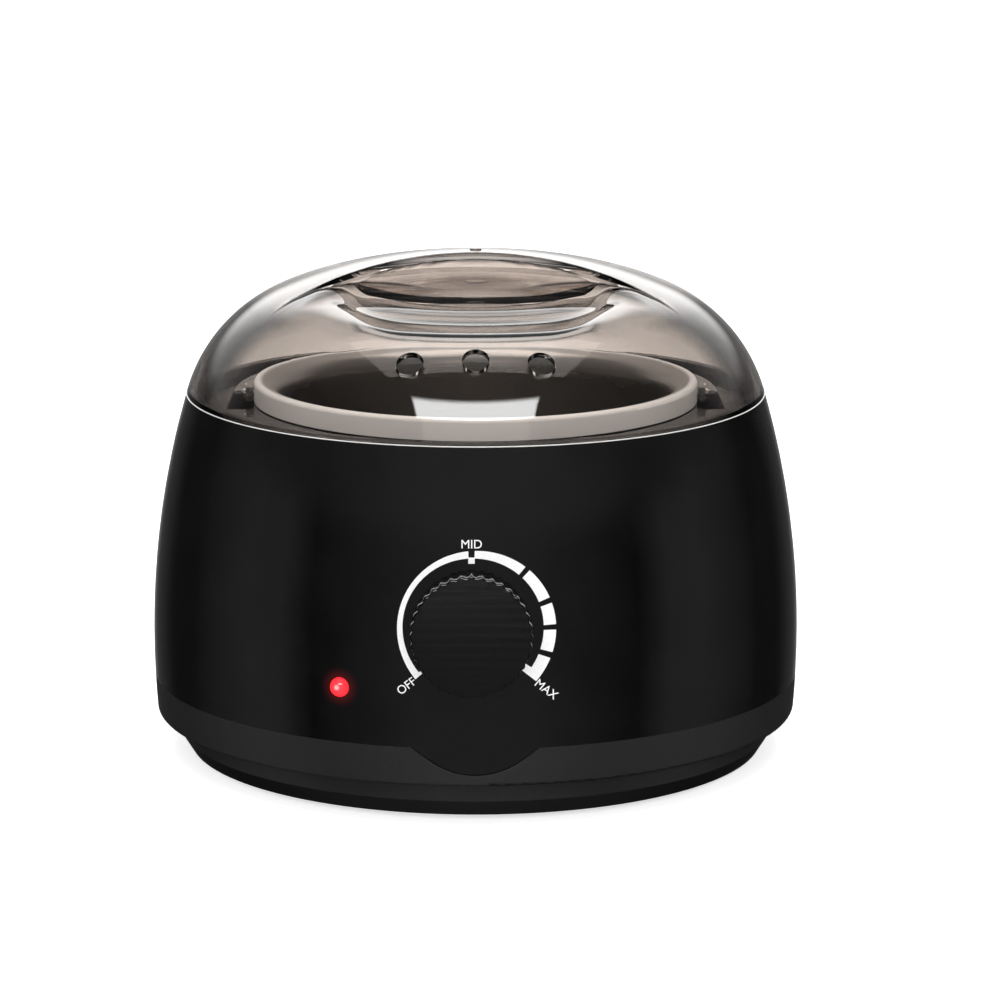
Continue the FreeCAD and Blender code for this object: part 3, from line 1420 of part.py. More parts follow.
def make_lid():
    dome = dome_solid("lid_dome")
    hollow_dome = cut("lid_inside", dome, dome_shell("lid_wall_form"))
    scoops_outer = cut("scoops_outer", dish("dish_outer", Size(0.0, "0")),
                       ridge_prism("ridge_outer", Size(0.0, "0")))
    scoops_inner = cut("scoops_inner", dish("dish_inner", lid_wall), ridge_prism("ridge_inner", lid_wall))
    outside = cut("lid_outer_form", dome_solid("lid_dome_outer"), scoops_outer)
    inside = cut("lid_inner_form", hollow_dome, scoops_inner)

    lip = new_body("lid_lip")
    lip_outer = seat_radius - shell_wall - seam
    lip_inner = lip_outer - lip_wall
    seat = lid_seat + lid_gap
    turned(lip, [
        (lip_inner, lid_seat - lip_drop),
        (lip_outer, lid_seat - lip_drop),
        (lip_outer, lid_seat),
        (seat_radius - lid_wall / 2, lid_seat),
        (seat_radius - lid_wall / 2, seat + 0.6),
        (lip_inner, seat + 0.6),
    ])
    apex = lid_seat + lid_rise
    peg = cylinder("gate_peg", peg_radius, peg_proud + lid_wall / 2, (0, 0, apex - lid_wall / 2))
    wall = fused("lid_wall_and_lip", [cut("lid_wall_all", outside, inside), lip, peg])
    holes = []
    lean = value(hole_lean)
    for side, yaw in (("front", 0), ("rear", 180)):
        for number in (-1, 0, 1):
            start = -hole_circle
            tilt = math.radians(lean)
            length = 30.0
            x = hole_pitch * number
            surface = lid_seat + hole_rise
            spot_y = start + math.sin(tilt) * length / 2
            spot_z = surface - math.cos(tilt) * length / 2
            if yaw:
                x = -x
                spot_y = -spot_y
            holes.append(cylinder(f"vent_{side}_{number + 1}", hole_radius, length, (x, spot_y, spot_z),
                                  (yaw, 0, lean)))
    return finish(cut("lid", wall, fused("vent_tools", holes)))


# ---------------------------------------------------------------- build, check and write

def build_all():
    make_main_housing()
    make_base_shell()
    make_bottom_cover()
    make_rubber_feet()
    make_base_screws()
    make_heating_cup()
    make_cup_seal()
    make_cup_screws()
    make_heater()
    make_pressure_plate()
    make_stud_nuts()
    make_heat_shield()
    make_sleeve()
    make_thermal_fuse()
    make_terminal_block()
    make_leads()
    make_thermostat()
    make_sensor()
    make_knob()
    make_knob_spring()
    make_indicator()
    make_gland()
    make_wax_pot()
    make_lugs()
    make_bail()
    make_lid()
    doc.recompute()


def check_all():
    for made in doc.Objects:
        if "Invalid" in made.State or "Error" in made.State:
            raise RuntimeError(f"{made.Label} failed: {made.State}")
    for made in sub_parts:
        if made.Shape.isNull() or not made.Shape.isValid():
            raise RuntimeError(f"{made.Label} has no valid shape")


def write_all():
    os.makedirs("parts", exist_ok=True)
    for made in sub_parts:
        made.Shape.exportStep(f"parts/{made.Label}.step")
        print(f"{made.Label}: {len(made.Shape.Solids)} solids, {made.Shape.Volume / 1000:.2f} cm3")


build_all()
check_all()
write_all()
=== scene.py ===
import json
import math

import bmesh
import bpy
from mathutils import Euler, Matrix, Vector


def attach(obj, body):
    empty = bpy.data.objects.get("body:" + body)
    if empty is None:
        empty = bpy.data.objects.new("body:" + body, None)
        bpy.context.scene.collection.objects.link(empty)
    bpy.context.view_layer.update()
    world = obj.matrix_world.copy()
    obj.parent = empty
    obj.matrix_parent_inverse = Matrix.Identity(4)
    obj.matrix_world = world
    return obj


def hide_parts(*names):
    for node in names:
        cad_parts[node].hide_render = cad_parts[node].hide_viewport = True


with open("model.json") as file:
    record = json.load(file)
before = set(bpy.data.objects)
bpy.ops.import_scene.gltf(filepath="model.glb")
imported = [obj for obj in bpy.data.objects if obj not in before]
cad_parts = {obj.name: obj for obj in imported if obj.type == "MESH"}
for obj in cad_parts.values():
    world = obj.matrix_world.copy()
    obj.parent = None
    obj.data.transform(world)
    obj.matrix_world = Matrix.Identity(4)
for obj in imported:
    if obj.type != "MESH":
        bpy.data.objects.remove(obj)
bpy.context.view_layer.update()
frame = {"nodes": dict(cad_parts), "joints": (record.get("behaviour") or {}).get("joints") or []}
NODES = frame["nodes"]
HINGES = {joint["name"]: joint for joint in frame["joints"]}

bl_info = {
    "name": "Candle wax melter",
    "version": (1, 0, 0),
    "blender": (4, 5, 0),
    "location": "3D View > Sidebar > Wax melter",
    "description": "Dresses the packed wax melter: gloss shell, smoky lid, spun pot, printed dial and stage",
    "category": "Object",
}

MM = 0.001

# ---------------------------------------------------------------- the barrel that the pieces are shaped on

AXIS_Y = HINGES["bail_swing"]["pos_m"][1]
BODY_RADIUS = 92.75 * MM
BELT_HEIGHT = 33 * MM
BULGE_RADIUS = 250 * MM
DIAL_CENTRE = Vector(HINGES["knob_turn"]["pos_m"])
DIAL_OUT = -Vector(HINGES["knob_turn"]["axis"]).normalized()
LAMP_BEARING = math.radians(23.4)
LAMP_HEIGHT = 38.2 * MM
LENS_RISE = 2.4 * MM
RING_SLOPE_TOP = 6.0 * MM


def barrel(height):
    """Outer radius of the barrel at a height."""
    return BODY_RADIUS - BULGE_RADIUS + math.sqrt(BULGE_RADIUS ** 2 - (height - BELT_HEIGHT) ** 2)


def panel_matrix():
    """Stands on the dial's centre, Z out of the panel and Y up it."""
    across = Vector((1, 0, 0))
    up = DIAL_OUT.cross(across).normalized()
    turn = Matrix((across, up, DIAL_OUT)).transposed()
    return Matrix.Translation(DIAL_CENTRE) @ turn.to_4x4()


def lamp_matrix():
    """Stands on the indicator's place on the barrel, Z outwards."""
    out = Vector((-math.sin(LAMP_BEARING), -math.cos(LAMP_BEARING), 0))
    up = Vector((0, 0, 1))
    across = up.cross(out)
    place = Vector((0, AXIS_Y, LAMP_HEIGHT)) + out * barrel(LAMP_HEIGHT)
    return Matrix.Translation(place) @ Matrix((across, up, out)).transposed().to_4x4()


# ---------------------------------------------------------------- what a user may change

class WaxMelterColours(bpy.types.PropertyGroup):
    gloss_black: bpy.props.FloatVectorProperty(
        name="Housing black", description="Colour of the glossy housing", subtype="COLOR", size=3,
        default=(0.0026, 0.0026, 0.0028), min=0, max=1)
    satin_black: bpy.props.FloatVectorProperty(
        name="Base black", description="Colour of the satin base shell and foot ring", subtype="COLOR",
        size=3,
        default=(0.0085, 0.0085, 0.009), min=0, max=1)
    knob_black: bpy.props.FloatVectorProperty(
        name="Knob black", description="Colour of the matt knob", subtype="COLOR", size=3,
        default=(0.0012, 0.0012, 0.0013), min=0, max=1)
    smoke: bpy.props.FloatVectorProperty(
        name="Smoke tint", description="Colour that the lid's plastic gives to light that goes through it",
        subtype="COLOR", size=3, default=(0.70, 0.645, 0.605), min=0, max=1)
    ink: bpy.props.FloatVectorProperty(
        name="Print white", description="Colour of the printed scale", subtype="COLOR", size=3,
        default=(0.94, 0.94, 0.94), min=0, max=1)
    lamp_red: bpy.props.FloatVectorProperty(
        name="Indicator red", description="Colour of the lit indicator", subtype="COLOR", size=3,
        default=(0.92, 0.02, 0.03), min=0, max=1)


class WaxMelterSizes(bpy.types.PropertyGroup):
    print_lift: bpy.props.FloatProperty(
        name="Print thickness", description="Height of the printed ink over the shell", subtype="DISTANCE",
        unit="LENGTH", default=0.00004, min=0.00001, max=0.0002)
    scale_outer: bpy.props.FloatProperty(
        name="Scale outer radius", description="Outer radius of the printed scale", subtype="DISTANCE",
        unit="LENGTH", default=0.0214, min=0.018, max=0.03)
    scale_inner: bpy.props.FloatProperty(
        name="Scale inner radius", description="Inner radius of the printed scale", subtype="DISTANCE",
        unit="LENGTH", default=0.0190, min=0.017, max=0.03)
    letter_height: bpy.props.FloatProperty(
        name="Letter height", description="Height of the printed capitals", subtype="DISTANCE",
        unit="LENGTH", default=0.00255, min=0.001, max=0.006)
    floor_reach: bpy.props.FloatProperty(
        name="Floor reach", description="Half the width of the floor", subtype="DISTANCE",
        unit="LENGTH", default=6, min=1, max=20)
    camera_distance: bpy.props.FloatProperty(
        name="Camera distance", description="From the camera to the middle of the melter",
        subtype="DISTANCE", unit="LENGTH", default=1.3, min=0.5, max=5)
    camera_elevation: bpy.props.FloatProperty(
        name="Camera elevation", description="Angle of the camera above the horizon", subtype="ANGLE",
        unit="ROTATION", default=math.radians(12.86), min=0, max=1.5)


# ---------------------------------------------------------------- shader helpers

WALL_DEPTH = ((0.0, 0.0), (0.2, 0.03), (0.31, 0.25), (0.5, 0.4), (0.56, 0.7), (0.62, 0.94), (1.0, 1.0))
NOISE_SPAN = (0.3, 0.7)
WIPE_SPAN = (0.38, 0.76)


def shader_tree(name):
    """A fresh material with its output node."""
    material = bpy.data.materials.new(name)
    material.use_nodes = True
    tree = material.node_tree
    tree.nodes.clear()
    output = tree.nodes.new("ShaderNodeOutputMaterial")
    output.location = (600, 0)
    return material, tree, output


def node(tree, kind, settings=None, inputs=None):
    """A node with its settings, and its sockets given as numbers or as links."""
    made = tree.nodes.new(kind)
    for key, setting in (settings or {}).items():
        setattr(made, key, setting)
    for key, given in (inputs or {}).items():
        socket = made.inputs[key]
        if isinstance(given, bpy.types.NodeSocket):
            tree.links.new(given, socket)
        else:
            socket.default_value = given
    return made


def four(colour, alpha=1.0):
    return (colour[0], colour[1], colour[2], alpha)


def effect_group(name, inputs, outputs):
    """An empty shader node group with named sockets."""
    group = bpy.data.node_groups.new(name, "ShaderNodeTree")
    for label, default in inputs:
        socket = group.interface.new_socket(name=label, in_out="INPUT", socket_type="NodeSocketFloat")
        socket.default_value = default
    for label in outputs:
        group.interface.new_socket(name=label, in_out="OUTPUT", socket_type="NodeSocketFloat")
    start = group.nodes.new("NodeGroupInput")
    end = group.nodes.new("NodeGroupOutput")
    return group, start, end


def fine_grain_group():
    """Fine moulded grain: a height for bump and a mask that runs from 0 to 1."""
    if "Fine grain" in bpy.data.node_groups:
        return bpy.data.node_groups["Fine grain"]
    group, start, end = effect_group("Fine grain", [("Scale", 900.0), ("Detail", 2.0)], ["Height", "Mask"])
    noise = node(group, "ShaderNodeTexNoise", inputs={
        "Vector": place_on(group), "Scale": start.outputs["Scale"], "Detail": start.outputs["Detail"],
        "Roughness": 0.55})
    group.links.new(noise.outputs["Fac"], end.inputs["Height"])
    group.links.new(between(group, noise.outputs["Fac"], 0.0, 1.0, *NOISE_SPAN), end.inputs["Mask"])
    return group


def handling_group():
    """Soft marks of wiping and touching: a mask that runs from 0 to 1."""
    if "Handling" in bpy.data.node_groups:
        return bpy.data.node_groups["Handling"]
    group, start, end = effect_group("Handling", [("Scale", 22.0)], ["Mask"])
    broad = node(group, "ShaderNodeTexNoise", inputs={
        "Vector": place_on(group), "Scale": start.outputs["Scale"], "Detail": 4.0,
        "Roughness": 0.6, "Distortion": 0.8})
    group.links.new(eased(group, broad.outputs["Fac"], *WIPE_SPAN), end.inputs["Mask"])
    return group


def radius_of(tree):
    """Distance from the melter's upright axis."""
    centred = vectors(tree, "SUBTRACT", place_on(tree), (0, AXIS_Y, 0))
    return vectors(tree, "LENGTH", vectors(tree, "MULTIPLY", centred, (1, 1, 0)))


def spun_group():
    """Turning marks round the melter's upright axis: a height and a mask."""
    if "Spun rings" in bpy.data.node_groups:
        return bpy.data.node_groups["Spun rings"]
    group, start, end = effect_group("Spun rings", [("Scale", 2500.0)], ["Height", "Mask"])
    reach = maths(group, "ADD", radius_of(group), split(group, place_on(group))["Z"])
    along = maths(group, "MULTIPLY", reach, start.outputs["Scale"])
    rings = node(group, "ShaderNodeTexNoise", {"noise_dimensions": "1D"},
                 {"W": along, "Scale": 1.0, "Detail": 3.0, "Roughness": 0.7})
    group.links.new(rings.outputs["Fac"], end.inputs["Height"])
    group.links.new(between(group, rings.outputs["Fac"], 0.0, 1.0, *NOISE_SPAN), end.inputs["Mask"])
    return group


def use_group(tree, group, **inputs):
    made = tree.nodes.new("ShaderNodeGroup")
    made.node_tree = group
    for key, given in inputs.items():
        made.inputs[key].default_value = given
    return made


def bumped(tree, height, distance, strength=1.0):
    return node(tree, "ShaderNodeBump", inputs={
        "Height": height, "Distance": distance, "Strength": strength}).outputs["Normal"]


def between(tree, given, low, high, start=0.0, end=1.0, kind="LINEAR"):
    """A number that runs from low to high as another runs from start to end."""
    return node(tree, "ShaderNodeMapRange", {"interpolation_type": kind}, {
        "Value": given, "From Min": start, "From Max": end, "To Min": low, "To Max": high}).outputs["Result"]


def eased(tree, given, start, end, low=0.0, high=1.0):
    return between(tree, given, low, high, start, end, "SMOOTHSTEP")


def maths(tree, operation, first, second=0.0):
    return node(tree, "ShaderNodeMath", {"operation": operation}, {0: first, 1: second}).outputs["Value"]


def vectors(tree, operation, first, second=(0, 0, 0)):
    made = node(tree, "ShaderNodeVectorMath", {"operation": operation}, {0: first, 1: second})
    return made.outputs["Value" if operation in ("LENGTH", "DISTANCE", "DOT_PRODUCT") else "Vector"]


def place_on(tree, kind="Object"):
    return node(tree, "ShaderNodeTexCoord").outputs[kind]


def split(tree, vector):
    """The three parts of a vector."""
    return node(tree, "ShaderNodeSeparateXYZ", inputs={"Vector": vector}).outputs


def blend_colour(tree, mask, low, high):
    mixed = node(tree, "ShaderNodeMix", {"data_type": "RGBA"})
    tree.links.new(mask, mixed.inputs[0])
    mixed.inputs[6].default_value = four(low)
    mixed.inputs[7].default_value = four(high)
    return mixed.outputs[2]


GRAIN_GAIN = 1.25
GRAIN_LIFT = 0.001
RING_SHADE = 0.9


def surface(name, colour, roughness, metallic=0.0, grain=None, marks=0.0, rings=None, **fixed):
    """A finish with varied roughness and bump, from grain or from rings, each (scale, distance)."""
    if name in bpy.data.materials:
        return bpy.data.materials[name]
    material, tree, output = shader_tree(name)
    shader = node(tree, "ShaderNodeBsdfPrincipled", inputs={
        "Base Color": four(colour), "Roughness": roughness, "Metallic": metallic})
    for key, given in fixed.items():
        shader.inputs[key.replace("_", " ").title().replace("Ior", "IOR")].default_value = given
    handling = use_group(tree, handling_group())
    tree.links.new(between(tree, handling.outputs["Mask"], roughness, min(1.0, roughness + marks)),
                   shader.inputs["Roughness"])
    if rings:
        pattern = use_group(tree, spun_group(), Scale=rings[0])
        other = tuple(part * RING_SHADE for part in colour)
    else:
        pattern = use_group(tree, fine_grain_group(), Scale=grain[0])
        other = tuple(min(1.0, part * GRAIN_GAIN + GRAIN_LIFT) for part in colour)
    tree.links.new(blend_colour(tree, pattern.outputs["Mask"], colour, other), shader.inputs["Base Color"])
    tree.links.new(bumped(tree, pattern.outputs["Height"], (rings or grain)[1]), shader.inputs["Normal"])
    tree.links.new(shader.outputs["BSDF"], output.inputs["Surface"])
    return material


def clothe(name, material):
    """Gives a CAD node its finish."""
    shown = NODES[name]
    if not shown.material_slots:
        shown.data.materials.append(material)
    for slot in shown.material_slots:
        slot.material = material


PLASTIC_IOR = 1.49
DEEP_SHARE = 0.008
# Painted light and shade on the lid: heights and shares where the edge-on deepening is cut back.
DEEP_SPAN = (134 * MM, 128.5 * MM)
CROWN_DEPTH = 0.12
BEYOND_DEPTH = 0.6
OPEN_SHARE = 0.12
LID_RIPPLE = 0.06 * MM


def smoke_material(colours):
    """Clear smoky plastic: deeper in colour where the wall is seen edge on, and open to the lamps. Painted
    light and shade: the deepening is cut back high on the lid and on the ridge, and the bend under the
    ridge's top edge is painted near black.
    """
    material, tree, output = shader_tree("Smoky clear plastic")
    wavy = use_group(tree, fine_grain_group(), Scale=28.0, Detail=1.0)
    slant = node(tree, "ShaderNodeLayerWeight", inputs={"Blend": 0.5})
    depth = node(tree, "ShaderNodeValToRGB", inputs={"Fac": slant.outputs["Facing"]})
    bands = depth.color_ramp
    for number, (spot, level) in enumerate(WALL_DEPTH):
        stop = bands.elements[number] if number < 2 else bands.elements.new(spot)
        stop.position = spot
        stop.color = (level, level, level, 1)
    deep = tuple(part * DEEP_SHARE for part in colours.smoke)
    # Painted light and shade: the edge-on deepening is cut back over the crown and the ridge's top, and less
    # beside the ridge, so the top stays pale and the lower shoulders darker, though the wall is equally
    # thick.
    painted_height_share = eased(tree, split(tree, place_on(tree))["Z"], *DEEP_SPAN, low=CROWN_DEPTH)
    beyond = node(tree, "ShaderNodeAttribute", {"attribute_name": "beyond"})
    deepest = maths(tree, "MAXIMUM", painted_height_share, between(tree, beyond.outputs["Fac"], 0.0, BEYOND_DEPTH))
    slanted = maths(tree, "MULTIPLY", depth.outputs["Color"], deepest)
    # Painted shade: the bend under the ridge's top edge turns near black, standing in for the dark line that
    # bent light makes along the crest.
    corner = node(tree, "ShaderNodeAttribute", {"attribute_name": "corner"})
    share = maths(tree, "MAXIMUM", slanted, corner.outputs["Fac"])
    plastic = node(tree, "ShaderNodeBsdfPrincipled", inputs={
        "Base Color": blend_colour(tree, share, colours.smoke, deep), "Transmission Weight": 1.0,
        "IOR": PLASTIC_IOR, "Roughness": 0.0, "Normal": bumped(tree, wavy.outputs["Height"], LID_RIPPLE)})
    open_colour = tuple(1 - OPEN_SHARE + OPEN_SHARE * part for part in colours.smoke)
    shade = node(tree, "ShaderNodeBsdfTransparent", inputs={"Color": four(open_colour)})
    path = node(tree, "ShaderNodeLightPath")
    soft = maths(tree, "MAXIMUM", path.outputs["Is Shadow Ray"], path.outputs["Is Diffuse Ray"])
    mixed = node(tree, "ShaderNodeMixShader", inputs={
        0: soft, 1: plastic.outputs["BSDF"], 2: shade.outputs["BSDF"]})
    tree.links.new(mixed.outputs["Shader"], output.inputs["Surface"])
    return material


# Painted light: the near-white outside of the rim and the lightening of the inside towards the mouth stand
# in for bright reflections in the metal.
POT_LIP = (59.8 * MM, 61.8 * MM)
POT_MOUTH = (98 * MM, 108 * MM)
MOUTH_PAINTED_LIGHT = 0.2
POT_INSIDE = ((0.50, 0.49, 0.475), (0.44, 0.43, 0.415))
POT_OUTSIDE_PAINTED_SHINE = (0.9, 0.89, 0.88)
POT_WEAR = 0.03
POT_BUMP = 0.006 * MM


def pot_material():
    """Spun aluminium: satin outside the rim, darker and smoother inside the pot. The outside's near-white
    colour is painted reflection, standing in for the bright light its metal catches, and the inside is
    lightened towards the mouth by painted light.
    """
    material, tree, output = shader_tree("Spun pot aluminium")
    turned = use_group(tree, spun_group(), Scale=1100.0)
    handling = use_group(tree, handling_group(), Scale=9.0)
    # Painted light: near-white outside the rim, and the inside lightened towards the mouth.
    outside = eased(tree, radius_of(tree), *POT_LIP)
    painted_mouth_light = eased(tree, split(tree, place_on(tree))["Z"], *POT_MOUTH, high=MOUTH_PAINTED_LIGHT)
    share = maths(tree, "MAXIMUM", outside, painted_mouth_light)
    ringed = blend_colour(tree, turned.outputs["Mask"], *POT_INSIDE)
    colour = node(tree, "ShaderNodeMix", {"data_type": "RGBA"})
    tree.links.new(share, colour.inputs[0])
    tree.links.new(ringed, colour.inputs[6])
    colour.inputs[7].default_value = four(POT_OUTSIDE_PAINTED_SHINE)
    worn = between(tree, handling.outputs["Mask"], 0.0, POT_WEAR)
    rough = maths(tree, "ADD", worn, between(tree, share, 0.26, 0.42))
    shader = node(tree, "ShaderNodeBsdfPrincipled", inputs={
        "Base Color": colour.outputs[2], "Metallic": between(tree, share, 1.0, 0.1),
        "Roughness": rough, "Normal": bumped(tree, turned.outputs["Height"], POT_BUMP)})
    tree.links.new(shader.outputs["BSDF"], output.inputs["Surface"])
    return material


# Painted highlight: a pale hot spot in the lens's glow, just above and right of its middle.
PAINTED_HIGHLIGHT_SPOT = Vector((0.2 * MM, 0.4 * MM, LENS_RISE))
PAINTED_HIGHLIGHT_COLOUR = (1.0, 0.5, 0.48)


def near_spot(tree, spot, reach, core):
    """Mask that is 1 within core of a place and fades to 0 at reach, both in millimetres."""
    return eased(tree, vectors(tree, "DISTANCE", place_on(tree), tuple(spot)), reach * MM, core * MM)


def lamp_material(colours):
    """Lit red plastic, brightest where it faces out, with a pale spot in its glow just above and right of
    the middle that is a painted highlight.
    """
    material, tree, output = shader_tree("Lit red lens")
    facing = node(tree, "ShaderNodeLayerWeight", inputs={"Blend": 0.35})
    rim = blend_colour(tree, facing.outputs["Facing"], (0.94, 0.035, 0.045), (0.7, 0.008, 0.014))
    glow = node(tree, "ShaderNodeMix", {"data_type": "RGBA"})
    tree.links.new(near_spot(tree, lamp_matrix() @ PAINTED_HIGHLIGHT_SPOT, 1.0, 0.3), glow.inputs[0])
    tree.links.new(rim, glow.inputs[6])
    glow.inputs[7].default_value = four(PAINTED_HIGHLIGHT_COLOUR)
    grain = use_group(tree, fine_grain_group(), Scale=600.0)
    shader = node(tree, "ShaderNodeBsdfPrincipled", inputs={
        "Base Color": four(colours.lamp_red), "Roughness": between(tree, grain.outputs["Mask"], 0.08, 0.16),
        "Emission Color": glow.outputs[2], "Emission Strength": 1.0, "IOR": PLASTIC_IOR})
    tree.links.new(shader.outputs["BSDF"], output.inputs["Surface"])
    return material


# ---------------------------------------------------------------- mesh helpers

def piece(name, mesh, material, body, smooth=True):
    """Makes an object of a bmesh, gives it its finish and lets it ride on a body."""
    data = bpy.data.meshes.new(name)
    mesh.to_mesh(data)
    mesh.free()
    for face in data.polygons:
        face.use_smooth = smooth
    made = bpy.data.objects.new(name, data)
    bpy.context.scene.collection.objects.link(made)
    data.materials.append(material)
    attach(made, body)
    return made


def onto_barrel(mesh, lift):
    """Lays a flat print, drawn in the panel's plane, onto the barrel."""
    for vertex in mesh.verts:
        spot = panel_matrix() @ vertex.co
        spread = math.sqrt(max(barrel(spot.z) ** 2 - spot.x ** 2, 0))
        vertex.co = Vector((spot.x, AXIS_Y - spread - lift, spot.z))


def arc_band(mesh, start, end, inner, outer):
    """A band between two circles, each (across, up, radius), cut off square to the panel's middle."""
    low = mesh.verts.new((0, 1, 0))
    high = mesh.verts.new((0, 2, 0))
    edge = mesh.edges.new((low, high))
    bmesh.ops.rotate(mesh, verts=[low, high], cent=(0, 0, 0), matrix=Matrix.Rotation(-start, 3, "Z"))
    bmesh.ops.spin(mesh, geom=[edge], cent=(0, 0, 0), axis=(0, 0, 1), angle=-(end - start),
                   steps=max(6, int((end - start) * 40)), use_duplicate=False)
    for vertex in mesh.verts:
        if vertex.tag:
            continue
        across, up, radius = inner if vertex.co.length < 1.5 else outer
        way = vertex.co.normalized()
        nearest = across * way.x + up * way.y
        reach = nearest + math.sqrt(radius ** 2 - across ** 2 - up ** 2 + nearest ** 2)
        vertex.co = way * reach
        vertex.tag = True


def mark(mesh, angle, radius, width, height):
    """A small square mark at a clock angle, its middle at a radius."""
    made = bmesh.ops.create_grid(mesh, x_segments=2, y_segments=2, size=0.5)["verts"]
    bmesh.ops.scale(mesh, verts=made, vec=(width, height, 1))
    bmesh.ops.translate(mesh, verts=made, vec=(0, radius, 0))
    bmesh.ops.rotate(mesh, verts=made, cent=(0, 0, 0), matrix=Matrix.Rotation(-angle, 3, "Z"))
    for vertex in made:
        vertex.tag = True


CAPITAL_SHARE = 0.775


def lettering(mesh, text, height, spot, turn):
    """Flat capitals, centred on a spot of the panel and turned."""
    curve = bpy.data.curves.new("lettering", "FONT")
    curve.body = text
    curve.align_x = "CENTER"
    curve.align_y = "CENTER"
    curve.size = height / CAPITAL_SHARE
    writer = bpy.data.objects.new("lettering", curve)
    bpy.context.scene.collection.objects.link(writer)
    bpy.context.view_layer.update()
    drawn = bpy.data.meshes.new_from_object(writer)
    drawn.transform(Matrix.Translation((spot[0], spot[1], 0)) @ Matrix.Rotation(turn, 4, "Z"))
    mesh.from_mesh(drawn)
    for vertex in mesh.verts:
        vertex.tag = True
    bpy.data.objects.remove(writer)
    bpy.data.curves.remove(curve)
    bpy.data.meshes.remove(drawn)


# ---------------------------------------------------------------- the lid's form

SEAT_HEIGHT = 103.9 * MM
LEDGE = 104.5 * MM
EDGE_RADIUS = 82.5 * MM
EDGE_LINE = 0.16 * MM
VENT_HEIGHT = 125.2 * MM
LID_TOP = 144.3 * MM
LID_WALL = 2.2 * MM
CROWN = 148 * MM
SHOULDER = 45 * MM
SHOULDER_OUT = 39.2184 * MM
SHOULDER_UP = 91.5413 * MM
JOIN_RADIUS = 56.3527 * MM
GRID_RADIUS = 66 * MM
RIDGE_HALF = 4.6 * MM
RIDGE_SWEEP = 88 * MM
SCOOP_FLOOR = 129.7 * MM
SCOOP_SWELL = 3.2 * MM
LIP_SECTION = [(value[0] * MM, value[1] * MM) for value in (
    (81.45, 103.9), (81.45, 103.7), (79.745, 103.7), (79.745, 102.0), (78.245, 102.0), (78.245, 104.5))]


VENT_RADIUS = 3.7 * MM
VENT_PITCH = 17.8 * MM
VENT_OUT = 69 * MM
VENT_LEAN = math.radians(42)
SCOOP_END = 33.5 * MM
OUTWARD_SPAN = (8 * MM, 32 * MM)
SWELL_RISE = (10 * MM, 34 * MM)
SWELL_FALL = (35 * MM, 48 * MM)
SWELL_LOSS = 0.69
SWELL_CLEAR = (4 * MM, 16 * MM)
STEP_DROP = 1.5 * MM
STEP_REACH = 9 * MM
STEP_FROM = 36 * MM
STEP_FADE = 21 * MM
CREST_SPAN = (28 * MM, 40 * MM)
WALL_SPAN = (-0.2 * MM, 1.3 * MM)
BEYOND_SPAN = (-0.3 * MM, 4 * MM)
ROWS_BEFORE = 0.4 * MM
ROWS_AFTER = 1.7 * MM
CREST_ROWS = 0.13
WALL_ROWS = 0.24
SHOULDER_RINGS = 28


def soft_least(first, second, blend):
    """The smaller of two heights, rounded where they meet."""
    share = max(0.0, min(1.0, 0.5 + 0.5 * (second - first) / blend))
    return second * (1 - share) + first * share - blend * share * (1 - share)


def soft_most(first, second, blend):
    return -soft_least(-first, -second, blend)


def soft_step(low, high, reach):
    share = max(0.0, min(1.0, (reach - low) / (high - low)))
    return share * share * (3 - 2 * share)


def dome(radius, inset):
    """Height of the lid's dome at a distance from its axis."""
    if radius < JOIN_RADIUS * (CROWN - inset) / CROWN:
        return LID_TOP - CROWN + math.sqrt((CROWN - inset) ** 2 - radius ** 2)
    return SHOULDER_UP + math.sqrt((SHOULDER - inset) ** 2 - (radius - SHOULDER_OUT) ** 2)


def ridge_edge(across, inset):
    """How far the finger ridge reaches from the middle plane."""
    sweep = RIDGE_SWEEP + inset
    return RIDGE_HALF - inset + sweep - math.sqrt(max(sweep ** 2 - across ** 2, 0))


def lid_height(across, along, inset):
    """Height of the lid's skin, outer or inner, at a place seen from above."""
    crown = dome(math.hypot(across, along), inset)
    edge = ridge_edge(across, inset)
    beside = abs(along) - edge
    outward = soft_step(*OUTWARD_SPAN, abs(along))
    reach = math.hypot(across, along)
    swell = SCOOP_SWELL * (soft_step(*SWELL_RISE, reach) - SWELL_LOSS * soft_step(*SWELL_FALL, reach))
    swell *= soft_step(*SWELL_CLEAR, abs(along))
    floor = SCOOP_FLOOR - inset + swell
    end_wall = floor + (abs(across) - SCOOP_END + inset * 0.4) * (1.05 - 0.6 * outward)
    scoop = soft_most(floor, end_wall, (2.2 + 4.0 * outward) * MM)
    fade = max(0.0, 1 - max(0.0, abs(across) - STEP_FROM) / STEP_FADE)
    step = STEP_DROP * fade * math.exp(-max(0.0, beside) / STEP_REACH)
    low = soft_least(crown - step, scoop, (1.0 + 4.0 * soft_step(*CREST_SPAN, abs(across))) * MM)
    share = soft_step(*WALL_SPAN, beside)
    return crown * (1 - share) + min(low, crown) * share


def wall_row(across_share, inset):
    """Where a row of the lid's grid follows the ridge's edge, as a share of the grid's half width."""
    low, high = 0.0, 1.0
    for _ in range(30):
        middle = (low + high) / 2
        across = GRID_RADIUS * across_share * math.sqrt(1 - middle ** 2 / 2)
        along = GRID_RADIUS * middle * math.sqrt(1 - across_share ** 2 / 2)
        if along < ridge_edge(across, inset):
            low = middle
        else:
            high = middle
    return middle


